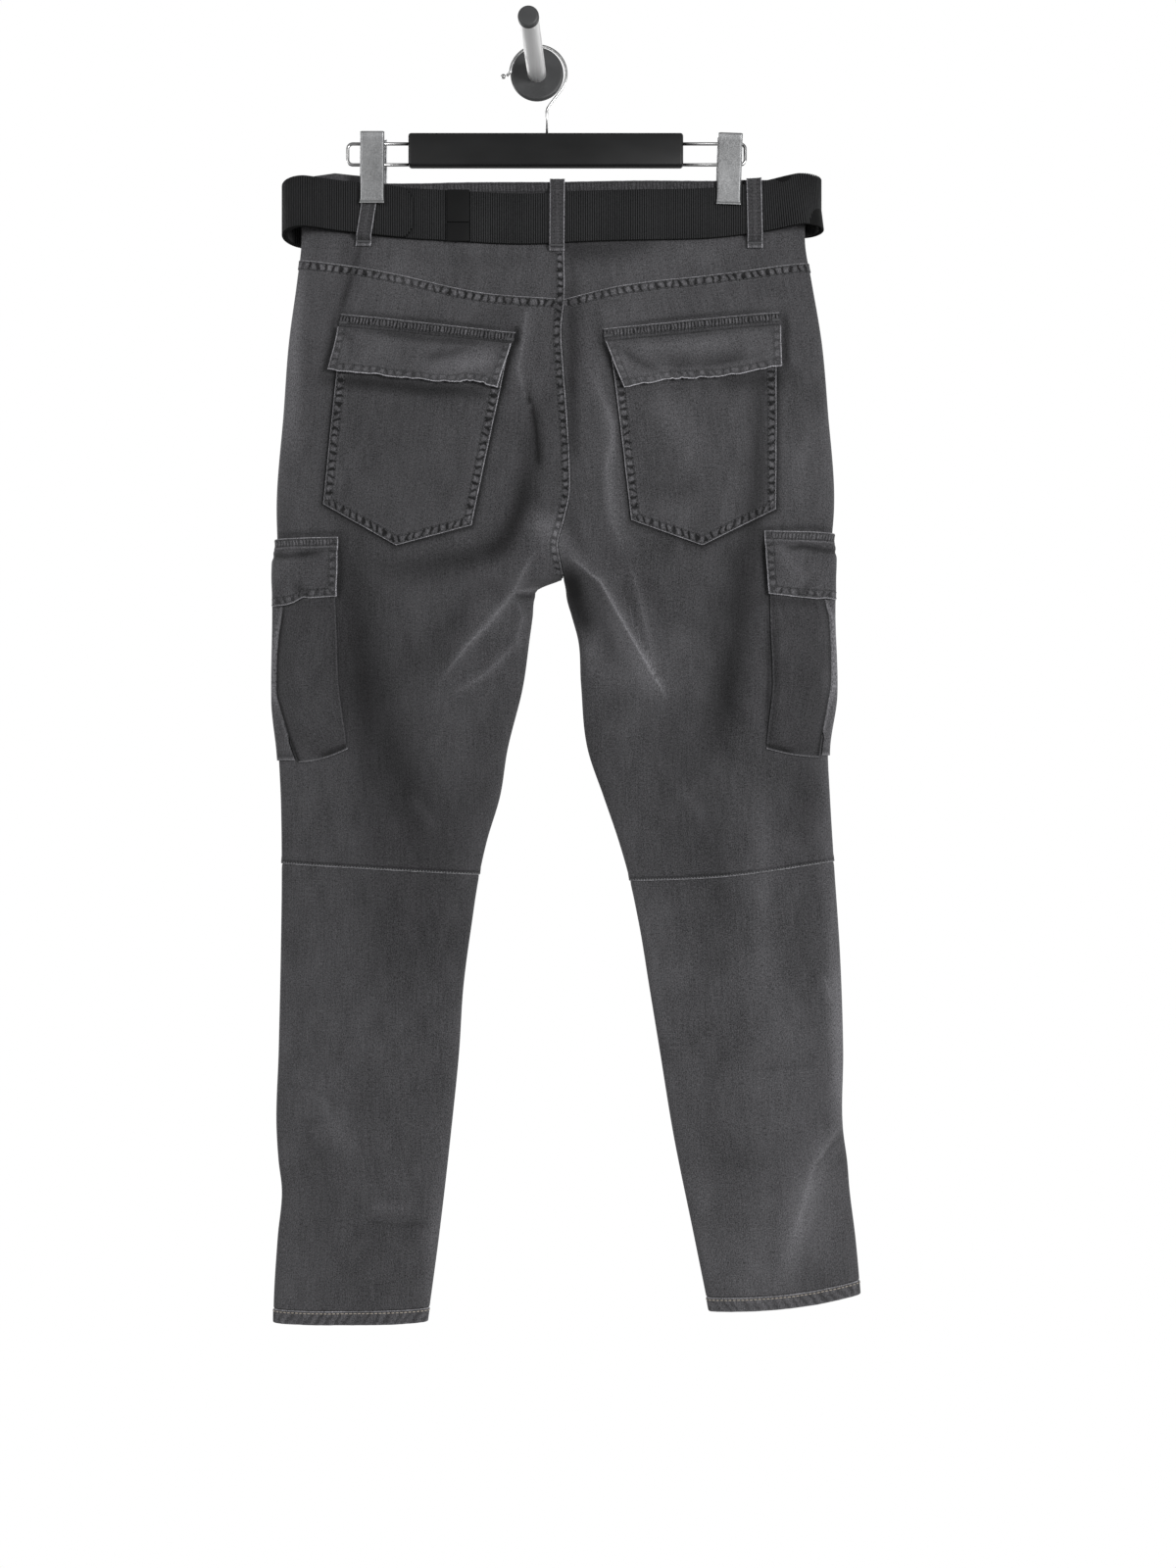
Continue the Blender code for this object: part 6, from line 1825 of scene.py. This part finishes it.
def lathe(name, profile, start, axis, finish, replaces=(), segments=72):
    """A turned piece: radius and reach along the axis, from its start in the garment's millimetres."""
    axis = np.array(axis, float)
    axis /= np.linalg.norm(axis)
    first = np.cross(axis, (0, 0, 1.0))
    first /= np.linalg.norm(first)
    second = np.cross(axis, first)
    angles = np.arange(segments) * 2 * np.pi / segments
    ring = np.cos(angles)[:, None] * first + np.sin(angles)[:, None] * second
    rings = np.stack([start + axis * h + ring * r for r, h in profile if r > 0])
    ends = np.stack([start + axis * profile[0][1], start + axis * profile[-1][1]])
    mesh = closed_rings(name, placed(rings), placed(ends))
    mesh.set_sharp_from_angle(angle=math.radians(50))
    return piece(name, mesh, finish, replaces)


# ---------------------------------------------------------------- hanger

BAR_X = (-151.7, 117.1)
BAR_DROPS = (-44.6, -12.0)
BAR_DEPTH = 12.0
RAIL_DROPS = (-35.0, -14.5)
RAIL_ENDS = (-211.4, 177.9)
RAIL_RADIUS = 1.6
RAIL_CORNER = 5.0
CLIP_WIDTH = 24.0
CLIP_DROPS = (-43.2, 27.6)
CLIP_WALL = 1.4
CLIP_LEAN_DEG = 2.9
CLIP_TILT_DEG = (0.0, 2.1)
CLIP_JAW = (16.2, 11.3)
PIVOT_RADIUS = 5.4
HOOK_WIRE = 1.3
HOOK_CENTRE = (2.5, -16.3)
HOOK_RADIUS = 27.4
HOOK_TIP = (-31.4, -18.9)
HOOK_TIP_RADIUS = 2.4
HOOK_STEM = (10.8, -53.0)
WIRE_SIDES = 16
# Shares across and down a clip plate where its grid has lines: close by its flanges, lip and grip
CLIP_ACROSS = (0, 0.01, 0.03, 0.05, 0.07, 0.1, 0.15, 0.3, 0.5, 0.7, 0.85, 0.9, 0.93, 0.95, 0.97, 0.99, 1)
CLIP_DOWN = ((0, 0.12, 9), (0.16, 0.8, 17), (0.83, 1, 22))


def arc(centre, radius, start_deg, end_deg, count):
    """Points of an arc as pairs, in the plane of the hanger."""
    angles = np.radians(np.linspace(start_deg, end_deg, count))
    return [(centre[0] + radius * math.cos(a), centre[1] + radius * math.sin(a)) for a in angles]


def tube(name, path, radius, replaces):
    """A round chromed wire along a smooth path of points in metres, with closed ends."""
    path = np.array(path, float)
    way = np.gradient(path, axis=0)
    way /= np.linalg.norm(way, axis=1, keepdims=True)
    aside = np.cross(way, (0, 1.0, 0))
    aside /= np.linalg.norm(aside, axis=1, keepdims=True)
    up = np.cross(way, aside)
    angles = np.arange(WIRE_SIDES) * 2 * np.pi / WIRE_SIDES
    ring = np.cos(angles)[None, :, None] * aside[:, None] + np.sin(angles)[None, :, None] * up[:, None]
    mesh = closed_rings(name, path[:, None] + ring * radius * MM, path[[0, -1]])
    return piece(name, mesh, CHROME, replaces)


def hanger():
    middle = (sum(BAR_X) / 2, 0, -sum(BAR_DROPS) / 2)
    size = (BAR_X[1] - BAR_X[0], BAR_DEPTH, BAR_DROPS[1] - BAR_DROPS[0])
    rounded_block("hanger_bar_moulding", size, middle, 2.8, BLACK, ["hanger_bar"], 4)
    for word, end, bar_end in (("left", RAIL_ENDS[0], BAR_X[0]), ("right", RAIL_ENDS[1], BAR_X[1])):
        sign = -1 if word == "left" else 1
        inner = end - sign * RAIL_CORNER
        top, low = -RAIL_DROPS[0], -RAIL_DROPS[1]
        start = bar_end - sign * 2.0
        upper = arc((0, top - RAIL_CORNER), RAIL_CORNER, 90, 0, 9)
        lower = arc((0, low + RAIL_CORNER), RAIL_CORNER, 0, -90, 9)
        path = [(start, top)] + [(inner + sign * x, z) for x, z in upper + lower] + [(start, low)]
        rail = [placed((x, 0, z)) for x, z in path]
        tube(f"hanger_rail_{word}_wire", rail, RAIL_RADIUS, [f"hanger_rail_{word}"])

    round_part = arc(HOOK_CENTRE, HOOK_RADIUS, 176, -38, 48)
    tip = (HOOK_TIP[0] + 3.2, HOOK_TIP[1] + 0.6)
    stem = [(13.6, -47.0), (11.6, -50.0), HOOK_STEM, (HOOK_STEM[0], WAIST_Z - BAR_DROPS[0] - 1)]
    path = [(x * MM, HANGER_Y * MM, z * MM) for x, z in [tip] + round_part + stem]
    tube("hanger_hook_wire", path, HOOK_WIRE, ["hanger_hook"])
    angles = np.linspace(0, math.pi, 13)
    ball = [(HOOK_TIP_RADIUS * math.sin(a), -HOOK_TIP_RADIUS * math.cos(a)) for a in angles]
    ball[0], ball[-1] = (0, -HOOK_TIP_RADIUS), (0, HOOK_TIP_RADIUS)
    at_tip = (HOOK_TIP[0] - SEAM - CENTRE_X, 0, HOOK_TIP[1] - WAIST_Z)
    lathe("hanger_hook_ball", ball, at_tip, (0, 1, 0.0), CHROME, ["hanger_hook_tip"], 24)
    for word, x, tilt, jaw in zip(SIDES, CLIP_X, CLIP_TILT_DEG, CLIP_JAW):
        clip(word, x, tilt, jaw)


def clip(word, x, tilt, jaw):
    """Two stamped plates that lean together towards the top, on a pivot between the rails."""
    height = CLIP_DROPS[1] - CLIP_DROPS[0]
    centre = np.array((x, 0, -sum(CLIP_DROPS) / 2))
    tilt, lean = math.radians(tilt), math.radians(CLIP_LEAN_DEG)

    def stand(points):
        """Turn a plate's points with the clip and put them in place."""
        turned = points.copy()
        turned[..., 0] = points[..., 0] * math.cos(tilt) + points[..., 2] * math.sin(tilt)
        turned[..., 2] = points[..., 2] * math.cos(tilt) - points[..., 0] * math.sin(tilt)
        return turned

    for which, sign in (("back", -1), ("front", 1)):

        def surface(u, v, sign=sign):
            w, h = CLIP_WIDTH * (u - 0.5), height * (0.5 - v)
            reach = jaw + CLIP_WALL - math.tan(lean) * (h + height / 2)
            lip = 0.9 * ease((v - 0.965) / 0.035)
            grip = 0.5 * ease((0.1 - v) / 0.1)
            flange = -1.6 * ease((np.abs(u - 0.5) - 0.43) / 0.07) * (1 - ease((v - 0.9) / 0.1))
            points = np.stack((w, sign * (reach + lip + grip + flange), h), -1)
            return stand(points) + centre, stand(facing(points, sign))

        down = np.concatenate([np.linspace(*run) for run in CLIP_DOWN])
        grid = laid(surface, np.array(CLIP_ACROSS), down)
        cloth(f"clip_{which}_{word}_plate", grid, CLIP_WALL, PLATE, [f"clip_{which}_{word}"], held="",
              slot="brushed_plate")
    pivot_at = centre + (0, 0, sum(CLIP_DROPS) / 2 - sum(RAIL_DROPS) / 2)
    length, radius = CLIP_WIDTH - 3, PIVOT_RADIUS
    profile = (
        (0, 0), (radius - 0.5, 0), (radius, 0.5), (radius, length - 0.5), (radius - 0.5, length), (0, length),
    )
    lathe(f"clip_spring_{word}", profile, pivot_at - (length / 2, 0, 0), (1, 0, 0.0), CHROME,
          [f"clip_pivot_{word}"], 32)


# ---------------------------------------------------------------- wall peg

FLANGE_DEPTH = 6.0
FLANGE_PROFILE = (
    (0, 0), (26.0, 0), (26.6, 0.8), (26.6, 4.2), (26.2, 5.2), (25.2, 5.9), (23.5, 6.0), (14, 6.0), (0, 6.0),
)
ROD_RADIUS = 9.3
ROD_GAP = 0.6
ROD_LENGTH = 143.0
ROD_LEAN_DEG = 1.6
CAP_RADIUS = 9.9
CAP_SIDE = 4.4
CAP_ROUNDING = 2.6


def peg():
    """A round plate on the wall, with a rod that leans a little to the left."""
    lean = math.radians(ROD_LEAN_DEG)
    axis = np.array((-math.sin(lean), -math.cos(lean), 0))
    origin = -np.array((CENTRE_X, HANGER_Y, WAIST_Z))
    lathe("peg_flange_plate", FLANGE_PROFILE, origin, (0, -1, 0), PEG_BLACK,
          ["peg_flange"], 96)
    start = origin - (0, FLANGE_DEPTH, 0) + axis * (ROD_GAP - 0.7)
    rod = ((0, 0), (ROD_RADIUS, 0), (ROD_RADIUS, ROD_LENGTH / 2), (ROD_RADIUS, ROD_LENGTH), (0, ROD_LENGTH))
    lathe("peg_rod_steel", rod, start, axis, ROD_STEEL, ["peg_rod"], 64)
    start = origin - (0, FLANGE_DEPTH, 0) + axis * (ROD_GAP + ROD_LENGTH + SEAM - 0.4)
    cap = [(0, 0), (CAP_RADIUS - 0.3, 0), (CAP_RADIUS, 0.5), (CAP_RADIUS, CAP_SIDE)]
    for a in np.linspace(0.15, math.pi / 2, 8):
        out, on = CAP_ROUNDING * math.cos(a), CAP_ROUNDING * math.sin(a)
        cap.append((CAP_RADIUS - CAP_ROUNDING + out, CAP_SIDE + on))
    cap += [(4.0, 7.15), (0, 7.2)]
    lathe("peg_cap_moulding", cap, start, axis, PEG_BLACK, ["peg_cap"], 64)


# ---------------------------------------------------------------- floor, lights and camera

AMBIENT = 0.34
FLOOR_DROP = -1.9
FLOOR_CORNERS = ((-2.2, -1.5), (2.2, -1.5), (2.2, 0.9), (-2.2, 0.9))
FLOOR_GREY = 0.8
# Lights: name, place and target in metres, size in metres and watts
LIGHTS = (
    ("key_light", (1.5, -2.2, -0.2), (0, 0, -0.62), 0.8, 70),
    ("fill_light", (-1.6, -1.9, 0.1), (0, 0, -0.66), 1.0, 24),
    ("left_rim_light", (-1.9, 1.5, -0.2), (0, 0, -0.6), 1.2, 42),
    ("right_rim_light", (2.0, 1.2, -0.3), (0, 0, -0.6), 1.2, 25),
)
CAMERA_PLACE = (0.0512, -2.0, -0.712)
CAMERA_LENS_MM = 45.7
CAMERA_SENSOR_MM = 36


def shown(name, data):
    """A new object in the scene that isn't a piece."""
    item = bpy.data.objects.new(name, data)
    bpy.context.scene.collection.objects.link(item)
    return item


def surroundings():
    """A white background for the camera, and an even dimmer light from all sides."""
    world = bpy.data.worlds.new("studio")
    bpy.context.scene.world = world
    world.use_nodes = True
    nodes, links = world.node_tree.nodes, world.node_tree.links
    nodes["Background"].inputs["Color"].default_value = (1, 1, 1, 1)
    path, strength = nodes.new("ShaderNodeLightPath"), nodes.new("ShaderNodeMapRange")
    strength.inputs["To Min"].default_value = AMBIENT
    links.new(path.outputs["Is Camera Ray"], strength.inputs["Value"])
    links.new(strength.outputs["Result"], nodes["Background"].inputs["Strength"])
    bpy.context.scene.view_settings.view_transform = "Standard"


def studio():
    surroundings()
    mesh = bpy.data.meshes.new("studio_floor")
    mesh.from_pydata([(x, y, FLOOR_DROP) for x, y in FLOOR_CORNERS], [], [(0, 1, 2, 3)])
    pale = Finish("pale_floor")
    pale.shader.inputs["Base Color"].default_value = (FLOOR_GREY, FLOOR_GREY, FLOOR_GREY, 1)
    pale.shader.inputs["Roughness"].default_value = 0.9
    mesh.materials.append(pale.material)
    shown("studio_floor", mesh)

    for name, place, target, size, power in LIGHTS:
        lamp = bpy.data.lights.new(name, "AREA")
        lamp.shape = "SQUARE"
        lamp.size = size
        lamp.energy = power
        holder = shown(name, lamp)
        holder.location = place
        x, y, z = np.array(target) - np.array(place)
        holder.rotation_euler = (math.atan2(math.hypot(x, y), -z), 0, math.atan2(y, x) - math.pi / 2)

    lens = bpy.data.cameras.new("photo_camera")
    lens.lens = CAMERA_LENS_MM
    lens.sensor_width = CAMERA_SENSOR_MM
    camera = shown("photo_camera", lens)
    camera.location = CAMERA_PLACE
    camera.rotation_euler = (math.pi / 2, 0, 0)
    bpy.context.scene.camera = camera


leg_panels()
waistbands()
hems()
felled_seams()
back_pockets()
cargo_pockets()
belt()
belt_loops()
fly()
front_welts()
button_and_buckle()
hanger()
peg()
studio()
